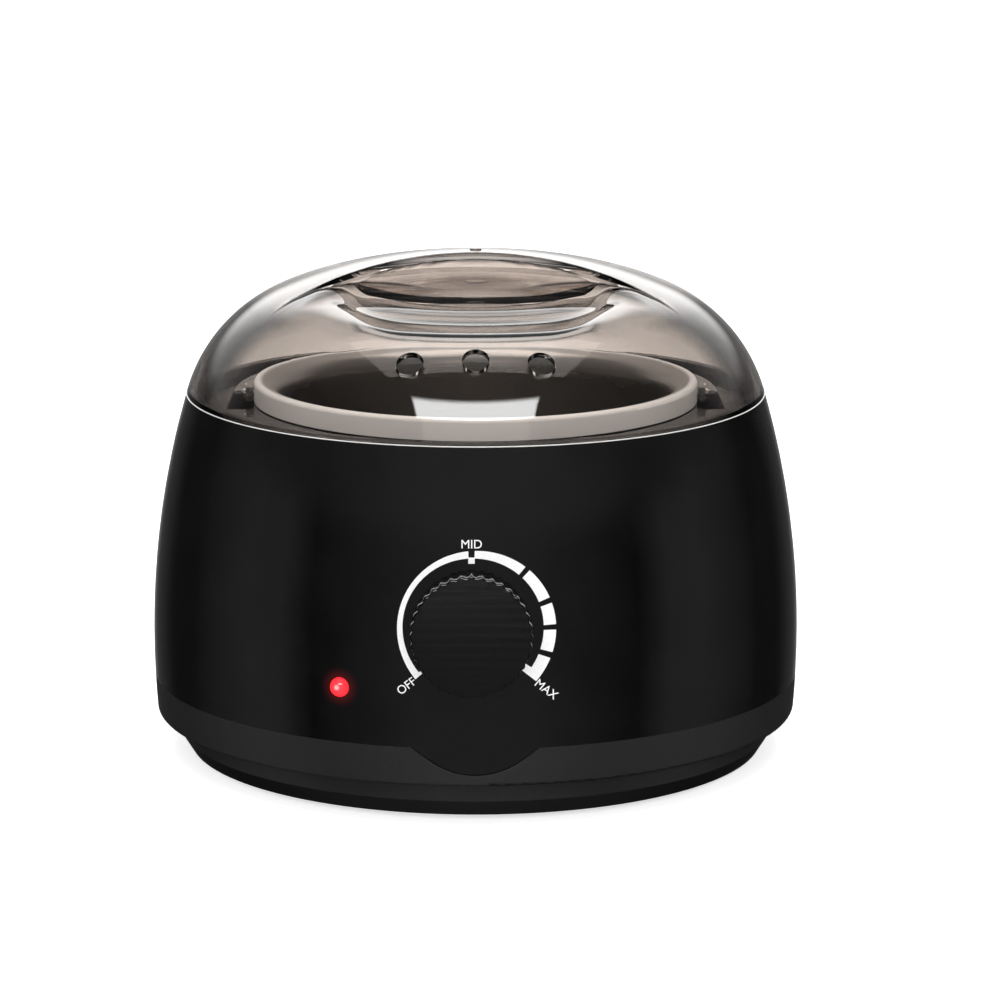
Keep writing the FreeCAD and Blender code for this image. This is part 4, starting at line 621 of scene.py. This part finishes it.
def lid_skin(mesh, inset):
    """A round grid whose rows follow the ridge, then rings down the shoulder to the seat."""
    corner = mesh.verts.layers.float.get("corner") or mesh.verts.layers.float.new("corner")
    beyond = mesh.verts.layers.float.get("beyond") or mesh.verts.layers.float.new("beyond")
    made = bmesh.ops.create_grid(mesh, x_segments=120, y_segments=150, size=1)["verts"]
    rows = {}
    for vertex in made:
        u, v = vertex.co.x, vertex.co.y
        key = round(u, 4)
        if key not in rows:
            rows[key] = wall_row(u, inset * (1 - u * u))
        unit = GRID_RADIUS * math.sqrt(1 - u * u / 2)
        start = rows[key] - ROWS_BEFORE / unit
        end = rows[key] + ROWS_AFTER / unit
        t = abs(v)
        done = CREST_ROWS + WALL_ROWS
        if t < CREST_ROWS:
            share = start * t / CREST_ROWS
        elif t < done:
            share = start + (end - start) * ((t - CREST_ROWS) / WALL_ROWS) ** 1.5
        else:
            share = end + (1 - end) * (t - done) / (1 - done)
        share = math.copysign(share, v)
        across = GRID_RADIUS * u * math.sqrt(1 - share ** 2 / 2)
        along = GRID_RADIUS * share * math.sqrt(1 - u * u / 2)
        vertex.co = Vector((across, along, lid_height(across, along, inset)))
        vertex[corner] = corner_share(vertex.co, inset)
    own = set(made)
    rim = [edge for edge in mesh.edges if edge.is_boundary and edge.verts[0] in own]
    radius = SHOULDER - inset
    start = math.acos((GRID_RADIUS - SHOULDER_OUT) / radius)
    foot = math.asin(((LEDGE if inset else SEAT_HEIGHT) - SHOULDER_UP) / radius)
    for step in range(1, SHOULDER_RINGS + 1):
        turn = start + (foot - start) * step / SHOULDER_RINGS
        out = SHOULDER_OUT + radius * math.cos(turn)
        rim = loop_out(mesh, rim, out, SHOULDER_UP + radius * math.sin(turn))
    for vertex in mesh.verts:
        vertex[beyond] = soft_step(*BEYOND_SPAN, abs(vertex.co.y) - ridge_edge(vertex.co.x, inset))


def corner_share(spot, inset):
    """Share of painted shade: 1 in the tight bend under the ridge's top edge, and 0 elsewhere."""
    across, along, height = spot
    if abs(along) - ridge_edge(across, inset) > ROWS_AFTER:
        return 0.0
    below = dome(math.hypot(across, along), inset) - height
    top = soft_step(0.0, 0.1 * MM, below) * soft_step(1.2 * MM, 0.7 * MM, below)
    return top * soft_step(60 * MM, 52 * MM, abs(across))


def loop_out(mesh, rim, radius, height):
    """Carries a round open edge on to another radius and height."""
    made = bmesh.ops.extrude_edge_only(mesh, edges=rim)["geom"]
    for vertex in (item for item in made if isinstance(item, bmesh.types.BMVert)):
        share = radius / math.hypot(vertex.co.x, vertex.co.y)
        vertex.co = Vector((vertex.co.x * share, vertex.co.y * share, height))
    return [item for item in made if isinstance(item, bmesh.types.BMEdge) and item.is_boundary]


def bore_vents(lid):
    """Cuts the three leaning vents in front and the three behind."""
    tools = bmesh.new()
    for side in (-1, 1):
        for number in (-1, 0, 1):
            made = bmesh.ops.create_cone(tools, segments=48, radius1=VENT_RADIUS, radius2=VENT_RADIUS,
                                         depth=30 * MM, cap_ends=True)["verts"]
            bmesh.ops.rotate(tools, verts=made, cent=(0, 0, 0),
                             matrix=Matrix.Rotation(VENT_LEAN * -side, 3, "X"))
            bmesh.ops.translate(tools, verts=made,
                                vec=(VENT_PITCH * number, AXIS_Y + VENT_OUT * side, VENT_HEIGHT))
    bmesh.ops.recalc_face_normals(tools, faces=tools.faces)
    data = bpy.data.meshes.new("vent_tools")
    tools.to_mesh(data)
    tools.free()
    cutter = bpy.data.objects.new("vent_tools", data)
    bpy.context.scene.collection.objects.link(cutter)
    boring = lid.modifiers.new("vents", "BOOLEAN")
    boring.object = cutter
    boring.operation = "DIFFERENCE"
    boring.solver = "EXACT"
    graph = bpy.context.evaluated_depsgraph_get()
    bored = bpy.data.meshes.new_from_object(lid.evaluated_get(graph))
    lid.modifiers.clear()
    old = lid.data
    lid.data = bored
    bpy.data.meshes.remove(old)
    bpy.data.objects.remove(cutter)
    bpy.data.meshes.remove(data)


# ---------------------------------------------------------------- operators

GLOSS_ROUND = (
    (0, 1.0), (4, 0.8), (9, 0.26), (20, 0.08), (34, 0.05), (44, 0.012), (62, 0.012), (82, 0.13),
    (94, 0.21), (108, 0.21), (114, 0.1), (121, 0.0), (133, 0.06), (147, 0.13), (160, 0.22), (180, 0.25))
GLOSS_ABOVE = (
    (0, 2.6), (16, 2.4), (30, 0.95), (44, 0.4), (56, 0.05), (80, 0.1), (120, 0.1), (150, 0.25), (180, 0.3))
CLEAR_ROUND = ((0, 1.0), (50, 1.0), (70, 0.06), (180, 0.05))
FRONT_PANEL_LEVEL = 18.0
FRONT_PANEL_SIDES = (0.362, 0.342)
FRONT_PANEL_DEPTH = (-0.05, -0.15)
FRONT_PANEL_FOOT = (0.622, 0.640)
FRONT_PANEL_TOP = (0.815, 0.765)
CEILING_LEVEL = 1.6
CEILING_SIDES = (0.40, 0.24)
CEILING_DEPTH = (-0.05, 0.08)
CEILING_FOOT = (0.88, 0.95)
UNDER_SPAN = (-0.27, -0.42)
BEHIND_SPAN = (0.0, 0.3)
LOW_BACK_LEVEL = 0.02
LIFT_SPAN = (0.08, 0.22)
STEEP_SPAN = (0.4, 0.6)
STEEP_LEVEL = 0.2
ROOM_LEVEL = 0.95
FLOOR_GLOW = 0.66
LAMPS = (("overhead", (0, 0.1, 1.5), (0, 0, 0), 1.4, 0.9, 12),
         ("front_fill", (0, -1.5, 0.9), (0, 0, 0.05), 1.2, 0.8, 6))
LENS = 162.4
SHIFT = (0.0244, 0.05)
AIM_HEIGHT = 56.81 * MM


class WAXMELTER_OT_stage(bpy.types.Operator):
    """Floor, surroundings, lamps and camera"""
    bl_idname = "waxmelter.stage"
    bl_label = "Stage"

    def execute(self, context):
        sizes = context.scene.wax_melter_sizes
        mesh = bmesh.new()
        bmesh.ops.create_grid(mesh, x_segments=2, y_segments=2, size=sizes.floor_reach)
        data = bpy.data.meshes.new("floor")
        mesh.to_mesh(data)
        mesh.free()
        floor = bpy.data.objects.new("floor", data)
        context.scene.collection.objects.link(floor)
        data.materials.append(floor_material())
        make_world(context.scene)
        for lamp in LAMPS:
            add_lamp(*lamp).visible_glossy = False
        add_camera(context.scene, sizes)
        return {"FINISHED"}


def floor_material():
    """White to the camera, with the melter's shadow on it; gloss looks past it at the surroundings."""
    material, tree, output = shader_tree("Studio floor")
    matt = node(tree, "ShaderNodeBsdfDiffuse", inputs={"Color": (0.8, 0.8, 0.8, 1)})
    glow = node(tree, "ShaderNodeEmission", inputs={"Color": (1, 1, 1, 1), "Strength": FLOOR_GLOW})
    both = node(tree, "ShaderNodeAddShader", inputs={0: matt.outputs["BSDF"], 1: glow.outputs["Emission"]})
    past = node(tree, "ShaderNodeBsdfTransparent")
    path = node(tree, "ShaderNodeLightPath")
    seen = maths(tree, "MAXIMUM", path.outputs["Is Camera Ray"], path.outputs["Is Transmission Ray"])
    mirrored = node(tree, "ShaderNodeMixShader", inputs={
        0: path.outputs["Is Glossy Ray"], 1: matt.outputs["BSDF"], 2: past.outputs["BSDF"]})
    mixed = node(tree, "ShaderNodeMixShader", inputs={
        0: seen, 1: mirrored.outputs["Shader"], 2: both.outputs["Shader"]})
    tree.links.new(mixed.outputs["Shader"], output.inputs["Surface"])
    return material


def levels_round(tree, bearing, stops):
    """Brightness by bearing: 0 is straight behind the melter, 180 is the side of the dial."""
    ramp = node(tree, "ShaderNodeValToRGB", inputs={"Fac": bearing})
    bands = ramp.color_ramp
    bands.interpolation = "LINEAR"
    for number, (degrees, level) in enumerate(stops):
        stop = bands.elements[number] if number < 2 else bands.elements.new(degrees / 180)
        stop.position = degrees / 180
        stop.color = (level, level, level, 1)
    return ramp.outputs["Color"]


def mixed_level(tree, share, low, high):
    mix = node(tree, "ShaderNodeMix", {"data_type": "FLOAT"})
    for number, given in ((0, share), (2, low), (3, high)):
        if isinstance(given, (int, float)):
            mix.inputs[number].default_value = given
        else:
            tree.links.new(given, mix.inputs[number])
    return mix.outputs[0]


def front_panel(tree, parts, aside):
    """Mask of the soft box that stands high in front: crisp at its sides and foot, soft at its top."""
    share = eased(tree, aside, *FRONT_PANEL_SIDES)
    for given, span in ((parts["Y"], FRONT_PANEL_DEPTH), (parts["Z"], FRONT_PANEL_FOOT),
                        (parts["Z"], FRONT_PANEL_TOP)):
        share = maths(tree, "MULTIPLY", share, eased(tree, given, *span))
    return share


def make_world(scene):
    """White to the camera. Gloss sees soft panels at the sides and in front, and a bright backdrop above."""
    world = bpy.data.worlds.new("Studio")
    world.use_nodes = True
    tree = world.node_tree
    tree.nodes.clear()
    output = tree.nodes.new("ShaderNodeOutputWorld")
    path = node(tree, "ShaderNodeLightPath")
    way = place_on(tree, "Generated")
    parts = split(tree, way)
    along = vectors(tree, "NORMALIZE", vectors(tree, "MULTIPLY", way, (1, 1, 0)))
    facing = vectors(tree, "DOT_PRODUCT", along, (0, 1, 0))
    bearing = maths(tree, "DIVIDE", maths(tree, "ARCCOSINE", facing), math.pi)
    low = levels_round(tree, bearing, GLOSS_ROUND)
    high = levels_round(tree, bearing, GLOSS_ABOVE)
    clear = levels_round(tree, bearing, CLEAR_ROUND)
    under = between(tree, parts["Z"], 0.0, 1.0, *UNDER_SPAN)
    behind = between(tree, facing, 0.0, 1.0, *BEHIND_SPAN)
    low = mixed_level(tree, maths(tree, "MULTIPLY", under, behind), low, LOW_BACK_LEVEL)
    steep = eased(tree, parts["Z"], *STEEP_SPAN, low=1.0, high=STEEP_LEVEL)
    dimmed = maths(tree, "MULTIPLY", high, steep)
    gloss = mixed_level(tree, eased(tree, parts["Z"], *LIFT_SPAN), low, dimmed)
    aside = maths(tree, "ABSOLUTE", parts["X"])
    ceiling = eased(tree, aside, *CEILING_SIDES)
    for given, span in ((parts["Y"], CEILING_DEPTH), (parts["Z"], CEILING_FOOT)):
        ceiling = maths(tree, "MULTIPLY", ceiling, eased(tree, given, *span))
    gloss = mixed_level(tree, ceiling, gloss, CEILING_LEVEL)
    gloss = mixed_level(tree, front_panel(tree, parts, aside), gloss, FRONT_PANEL_LEVEL)
    level = mixed_level(tree, path.outputs["Is Glossy Ray"], ROOM_LEVEL, gloss)
    level = mixed_level(tree, path.outputs["Is Transmission Ray"], level, clear)
    level = mixed_level(tree, path.outputs["Is Camera Ray"], level, 1.0)
    white = node(tree, "ShaderNodeBackground", inputs={"Color": (1, 1, 1, 1), "Strength": level})
    tree.links.new(white.outputs["Background"], output.inputs["Surface"])
    scene.world = world


def add_lamp(name, spot, aim, width, height, power):
    light = bpy.data.lights.new(name, "AREA")
    light.shape = "RECTANGLE"
    light.size = width
    light.size_y = height
    light.energy = power
    lamp = bpy.data.objects.new(name, light)
    bpy.context.scene.collection.objects.link(lamp)
    lamp.location = spot
    lamp.rotation_euler = (Vector(aim) - Vector(spot)).to_track_quat("-Z", "Y").to_euler()
    return lamp


def add_camera(scene, sizes):
    """Looks down at the dial side from a long way off."""
    data = bpy.data.cameras.new("camera")
    data.sensor_width = 36
    data.lens = LENS
    data.shift_x, data.shift_y = SHIFT
    camera = bpy.data.objects.new("camera", data)
    scene.collection.objects.link(camera)
    lean = sizes.camera_elevation
    reach = sizes.camera_distance
    camera.location = (0, AXIS_Y - reach * math.cos(lean), AIM_HEIGHT + reach * math.sin(lean))
    camera.rotation_euler = Euler((math.pi / 2 - lean, 0, 0))
    scene.camera = camera
    scene.view_settings.view_transform = "Standard"


# Red of the painted glow that the black shell gives off round the indicator.
PAINTED_LENS_GLOW = (0.06, 0.003, 0.004)
# Painted shade: colours of the foot ring below and above the top of its slope; the near-black lower one
# stands in for shade.
RING_BLEND = 0.2 * MM
RING_PAINTED_SHADE_COLOURS = ((0.0008, 0.0008, 0.0009), (0.013, 0.013, 0.0135))


class WAXMELTER_OT_shells(bpy.types.Operator):
    """Housing, base shell, bottom cover and feet"""
    bl_idname = "waxmelter.shells"
    bl_label = "Shells"

    def execute(self, context):
        colours = context.scene.wax_melter_colours
        gloss = surface("Gloss black shell", colours.gloss_black, 0.05, grain=(60.0, 0.00001), marks=0.03)
        tree = gloss.node_tree
        shell = next(made for made in tree.nodes if made.type == "BSDF_PRINCIPLED")
        # Painted light: the black shell glows faintly red round the indicator, standing in for the lens's
        # light falling on it.
        painted_glow_share = near_spot(tree, lamp_matrix().translation, 6.0, 1.8)
        tree.links.new(blend_colour(tree, painted_glow_share, (0, 0, 0), PAINTED_LENS_GLOW), shell.inputs["Emission Color"])
        shell.inputs["Emission Strength"].default_value = 1.0
        clothe("main_housing", gloss)
        satin = surface("Satin black shell", colours.satin_black, 0.42, grain=(2600.0, 0.00003), marks=0.08,
                        specular_ior_level=0.9)
        clothe("base_shell", satin)
        ring = surface("Satin black ring", colours.satin_black, 0.4, grain=(2600.0, 0.00003), marks=0.08,
                       specular_ior_level=0.75)
        tree = ring.node_tree
        cover = next(made for made in tree.nodes if made.type == "BSDF_PRINCIPLED")
        # Painted shade: below the top of its slope the ring turns near black, standing in for the dark floor
        # and shadow that its lower part reflects.
        height = split(tree, place_on(tree))["Z"]
        upper = between(tree, height, 0.0, 1.0, RING_SLOPE_TOP - RING_BLEND, RING_SLOPE_TOP + RING_BLEND)
        tree.links.new(blend_colour(tree, upper, *RING_PAINTED_SHADE_COLOURS), cover.inputs["Base Color"])
        clothe("bottom_cover", ring)
        clothe("rubber_feet", surface("Foot rubber", (0.02, 0.02, 0.02), 0.75, grain=(1800.0, 0.00005)))
        return {"FINISHED"}


class WAXMELTER_OT_lid(bpy.types.Operator):
    """Smoky clear lid with its finger ridge, scoops and vents"""
    bl_idname = "waxmelter.lid"
    bl_label = "Lid"

    def execute(self, context):
        smoke = smoke_material(context.scene.wax_melter_colours)
        mesh = bmesh.new()
        lid_skin(mesh, 0.0)
        rim = [edge for edge in mesh.edges if edge.is_boundary]
        for radius, height in LIP_SECTION:
            rim = loop_out(mesh, rim, radius, height)
        lid_skin(mesh, LID_WALL)
        inner_foot = math.sqrt((SHOULDER - LID_WALL) ** 2 - (LEDGE - SHOULDER_UP) ** 2) + SHOULDER_OUT
        loop_out(mesh, rim, inner_foot, LEDGE)
        bmesh.ops.remove_doubles(mesh, verts=[vertex for vertex in mesh.verts if vertex.is_boundary],
                                 dist=0.02 * MM)
        bmesh.ops.recalc_face_normals(mesh, faces=mesh.faces)
        bmesh.ops.translate(mesh, verts=mesh.verts, vec=(0, AXIS_Y, 0))
        lid = piece("smoky_lid", mesh, smoke, "lid")
        bore_vents(lid)
        lid.data.set_sharp_from_angle(angle=math.radians(38))
        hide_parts("lid")
        gate = bmesh.new()
        bmesh.ops.create_cone(gate, segments=48, radius1=1.7 * MM, radius2=1.6 * MM, depth=0.9 * MM,
                              cap_ends=True)
        crisp = [edge for edge in gate.edges if edge.is_manifold and edge.calc_face_angle() > 1.0]
        bmesh.ops.bevel(gate, geom=crisp, offset=0.15 * MM, segments=2, profile=0.5, affect="EDGES",
                        material=-1)
        bmesh.ops.translate(gate, verts=gate.verts, vec=(0, AXIS_Y, LID_TOP - 0.06 * MM))
        piece("lid_gate", gate, smoke, "lid").data.set_sharp_from_angle(angle=math.radians(40))
        # Painted highlight: a thin pale ring round the lid's seat, standing in for the bright line of light
        # along the joint of lid and housing.
        painted_glint = surface("Painted lid edge highlight", (0.62, 0.61, 0.6), 0.25, grain=(400.0, 0.00001), marks=0.05)
        line = bmesh.new()
        made = bmesh.ops.create_circle(line, segments=8, radius=EDGE_LINE)["verts"]
        bmesh.ops.rotate(line, verts=made, cent=(0, 0, 0), matrix=Matrix.Rotation(math.radians(90), 3, "X"))
        bmesh.ops.translate(line, verts=made, vec=(EDGE_RADIUS, 0, SEAT_HEIGHT + 0.05 * MM))
        bmesh.ops.spin(line, geom=list(line.edges), cent=(0, 0, 0), axis=(0, 0, 1), angle=math.tau,
                       steps=360, use_merge=True, use_duplicate=False)
        bmesh.ops.recalc_face_normals(line, faces=line.faces)
        bmesh.ops.translate(line, verts=line.verts, vec=(0, AXIS_Y, 0))
        piece("lid_edge_highlight", line, painted_glint, "lid")
        return {"FINISHED"}


SCALE_CUTS = (-132.5, -2.35, 2.35, 40.8, 44.6, 68.3, 72.3, 87.4, 91.2, 106.8, 111.0, 129.5)


class WAXMELTER_OT_dial_print(bpy.types.Operator):
    """Printed temperature scale"""
    bl_idname = "waxmelter.dial_print"
    bl_label = "Dial print"

    def execute(self, context):
        sizes = context.scene.wax_melter_sizes
        ink = surface("Printed white", context.scene.wax_melter_colours.ink, 0.35, grain=(1500.0, 0.000005),
                      marks=0.1)
        outer = (0.00027 - DIAL_CENTRE.x, -0.00016, sizes.scale_outer)
        inner = (-0.00067 - DIAL_CENTRE.x, 0.00024, sizes.scale_inner)
        mesh = bmesh.new()
        for start, end in zip(SCALE_CUTS[::2], SCALE_CUTS[1::2]):
            arc_band(mesh, math.radians(start), math.radians(end), inner, outer)
        stop = (0, 0, 0.0173)
        arc_band(mesh, math.radians(123.0), math.radians(129.5), stop, inner)
        arc_band(mesh, math.radians(-132.5), math.radians(-130.0), (0, 0, 0.0180), inner)
        mark(mesh, 0.0, 0.01865, 0.00173, 0.00164)
        for text, spot, turn in (("MID", (0.0, 0.0229), 0.0), ("OFF", (-0.0175, -0.0159), math.radians(39)),
                                 ("MAX", (0.0201, -0.0168), math.radians(-39.5))):
            lettering(mesh, text, sizes.letter_height, spot, turn)
        bmesh.ops.remove_doubles(mesh, verts=mesh.verts, dist=0.000001)
        onto_barrel(mesh, sizes.print_lift)
        bmesh.ops.recalc_face_normals(mesh, faces=mesh.faces)
        piece("dial_print", mesh, ink, "housing", smooth=False)
        return {"FINISHED"}


KNOB_RADIUS = 16.4 * MM
KNOB_BACK = 1.2 * MM
KNOB_FRONT = 13.6 * MM
KNOB_WAVES = 36
KNOB_WAVE_DEPTH = 0.5 * MM


class WAXMELTER_OT_knob(bpy.types.Operator):
    """Matt scalloped knob"""
    bl_idname = "waxmelter.knob"
    bl_label = "Knob"

    def execute(self, context):
        colours = context.scene.wax_melter_colours
        face = surface("Matt black knob", colours.knob_black, 0.34, grain=(3000.0, 0.00003), marks=0.05,
                       specular_ior_level=0.4)
        flank = surface("Polished knob flank", colours.knob_black, 0.09, grain=(900.0, 0.000004), marks=0.05)
        mesh = bmesh.new()
        made = bmesh.ops.create_circle(mesh, cap_ends=True, segments=KNOB_WAVES * 12,
                                       radius=KNOB_RADIUS)["verts"]
        for vertex in made:
            turn = math.atan2(vertex.co.y, vertex.co.x)
            depth = KNOB_WAVE_DEPTH * (1 - math.cos(KNOB_WAVES * turn)) / 2
            vertex.co = vertex.co * (1 - depth / KNOB_RADIUS)
        bmesh.ops.translate(mesh, verts=made, vec=(0, 0, KNOB_BACK))
        grown = bmesh.ops.extrude_face_region(mesh, geom=list(mesh.faces))["geom"]
        top = [item for item in grown if isinstance(item, bmesh.types.BMVert)]
        bmesh.ops.translate(mesh, verts=top, vec=(0, 0, KNOB_FRONT - KNOB_BACK))
        bmesh.ops.recalc_face_normals(mesh, faces=mesh.faces)
        rim = [edge for edge in mesh.edges if abs(edge.verts[0].co.z - edge.verts[1].co.z) < 0.01 * MM]
        bmesh.ops.bevel(mesh, geom=rim, offset=0.4 * MM, segments=3, profile=0.5, affect="EDGES",
                        material=-1)
        for item in mesh.faces:
            item.material_index = 0 if abs(item.normal.z) > 0.99 else 1
        bmesh.ops.transform(mesh, matrix=panel_matrix(), verts=mesh.verts)
        knob = piece("scalloped_knob", mesh, face, "knob")
        knob.data.materials.append(flank)
        knob.data.set_sharp_from_angle(angle=math.radians(50))
        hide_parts("knob")
        return {"FINISHED"}


class WAXMELTER_OT_indicator(bpy.types.Operator):
    """Lit red indicator"""
    bl_idname = "waxmelter.indicator"
    bl_label = "Indicator"

    def execute(self, context):
        clothe("indicator_lens", lamp_material(context.scene.wax_melter_colours))
        clothe("indicator_lamp", surface("Lamp body", (0.8, 0.3, 0.2), 0.2, grain=(900.0, 0.00001)))
        clothe("lamp_holder", surface("Holder plastic", (0.8, 0.8, 0.78), 0.45, grain=(1200.0, 0.00002)))
        return {"FINISHED"}


class WAXMELTER_OT_metalwork(bpy.types.Operator):
    """Pot, cup, bail and the parts of metal"""
    bl_idname = "waxmelter.metalwork"
    bl_label = "Metalwork"

    def execute(self, context):
        clothe("wax_pot", pot_material())
        clothe("heating_cup", surface("Cup aluminium", (0.6, 0.6, 0.61), 0.35, metallic=1.0,
                                      rings=(900.0, 0.00003), marks=0.15))
        steel = surface("Bright steel", (0.6, 0.6, 0.61), 0.22, metallic=1.0, grain=(1400.0, 0.000006),
                        marks=0.12)
        for name in ("bail_wire", "pot_lugs", "lug_rivets", "base_screws", "cup_screws", "plate_nut",
                     "shield_nut", "pressure_plate", "fuse_clip", "thermostat_plate", "thermostat_nut",
                     "thermostat_spindle", "knob_spring", "bulb_clip", "thermal_fuse"):
            clothe(name, steel)
        clothe("heat_shield", surface("Shield steel", (0.5, 0.5, 0.5), 0.38, metallic=1.0,
                                      rings=(700.0, 0.00002), marks=0.2))
        brass = surface("Brass", (0.62, 0.42, 0.18), 0.28, metallic=1.0, grain=(1000.0, 0.00001), marks=0.15)
        for name in ("thermostat_bush", "terminal_screws"):
            clothe(name, brass)
        clothe("sensor_bulb", surface("Copper", (0.72, 0.34, 0.2), 0.3, metallic=1.0, grain=(900.0, 0.00001),
                                      marks=0.2))
        return {"FINISHED"}


class WAXMELTER_OT_insides(bpy.types.Operator):
    """Seal, heater, insulation, wiring and gland"""
    bl_idname = "waxmelter.insides"
    bl_label = "Insides"

    def execute(self, context):
        finishes = {
            "cup_seal": ("Red silicone", (0.35, 0.05, 0.03), 0.55, (1200.0, 0.00002)),
            "heater_element": ("Mica", (0.36, 0.27, 0.16), 0.5, (420.0, 0.00008)),
            "insulation_sleeve": ("Needled fibre", (0.72, 0.7, 0.64), 0.95, (260.0, 0.0005)),
            "thermostat_body": ("Bakelite", (0.05, 0.03, 0.022), 0.4, (700.0, 0.00003)),
            "terminal_block": ("Holder plastic", (0.8, 0.8, 0.78), 0.45, (1200.0, 0.00002)),
            "lead_live": ("Brown lead", (0.16, 0.06, 0.025), 0.5, (800.0, 0.00003)),
            "lead_switched": ("Brown lead", (0.16, 0.06, 0.025), 0.5, (800.0, 0.00003)),
            "lead_bridge": ("White lead", (0.7, 0.7, 0.68), 0.6, (800.0, 0.00003)),
            "lead_neutral": ("Blue lead", (0.03, 0.08, 0.35), 0.5, (800.0, 0.00003)),
            "lamp_leads": ("White lead", (0.7, 0.7, 0.68), 0.6, (800.0, 0.00003)),
            "cable_gland": ("Gland rubber", (0.015, 0.015, 0.015), 0.6, (1500.0, 0.00004)),
        }
        for name, (finish, colour, roughness, grain) in finishes.items():
            clothe(name, surface(finish, colour, roughness, grain=grain, marks=0.1))
        return {"FINISHED"}


PIECE_OPERATORS = (
    WAXMELTER_OT_stage, WAXMELTER_OT_shells, WAXMELTER_OT_lid, WAXMELTER_OT_dial_print, WAXMELTER_OT_knob,
    WAXMELTER_OT_indicator, WAXMELTER_OT_metalwork, WAXMELTER_OT_insides,
)


class WAXMELTER_PT_panel(bpy.types.Panel):
    """Lists the melter's pieces"""
    bl_idname = "WAXMELTER_PT_panel"
    bl_label = "Wax melter"
    bl_space_type = "VIEW_3D"
    bl_region_type = "UI"
    bl_category = "Wax melter"

    def draw(self, context):
        for operator in PIECE_OPERATORS:
            self.layout.operator(operator.bl_idname)


CLASSES = (WaxMelterColours, WaxMelterSizes) + PIECE_OPERATORS + (WAXMELTER_PT_panel,)


def register():
    for made in CLASSES:
        bpy.utils.register_class(made)
    bpy.types.Scene.wax_melter_colours = bpy.props.PointerProperty(type=WaxMelterColours)
    bpy.types.Scene.wax_melter_sizes = bpy.props.PointerProperty(type=WaxMelterSizes)


def unregister():
    del bpy.types.Scene.wax_melter_sizes
    del bpy.types.Scene.wax_melter_colours
    for made in reversed(CLASSES):
        bpy.utils.unregister_class(made)


def main():
    register()
    for operator in PIECE_OPERATORS:
        group, name = operator.bl_idname.split(".")
        getattr(getattr(bpy.ops, group), name)()


if __name__ == "__main__":
    main()
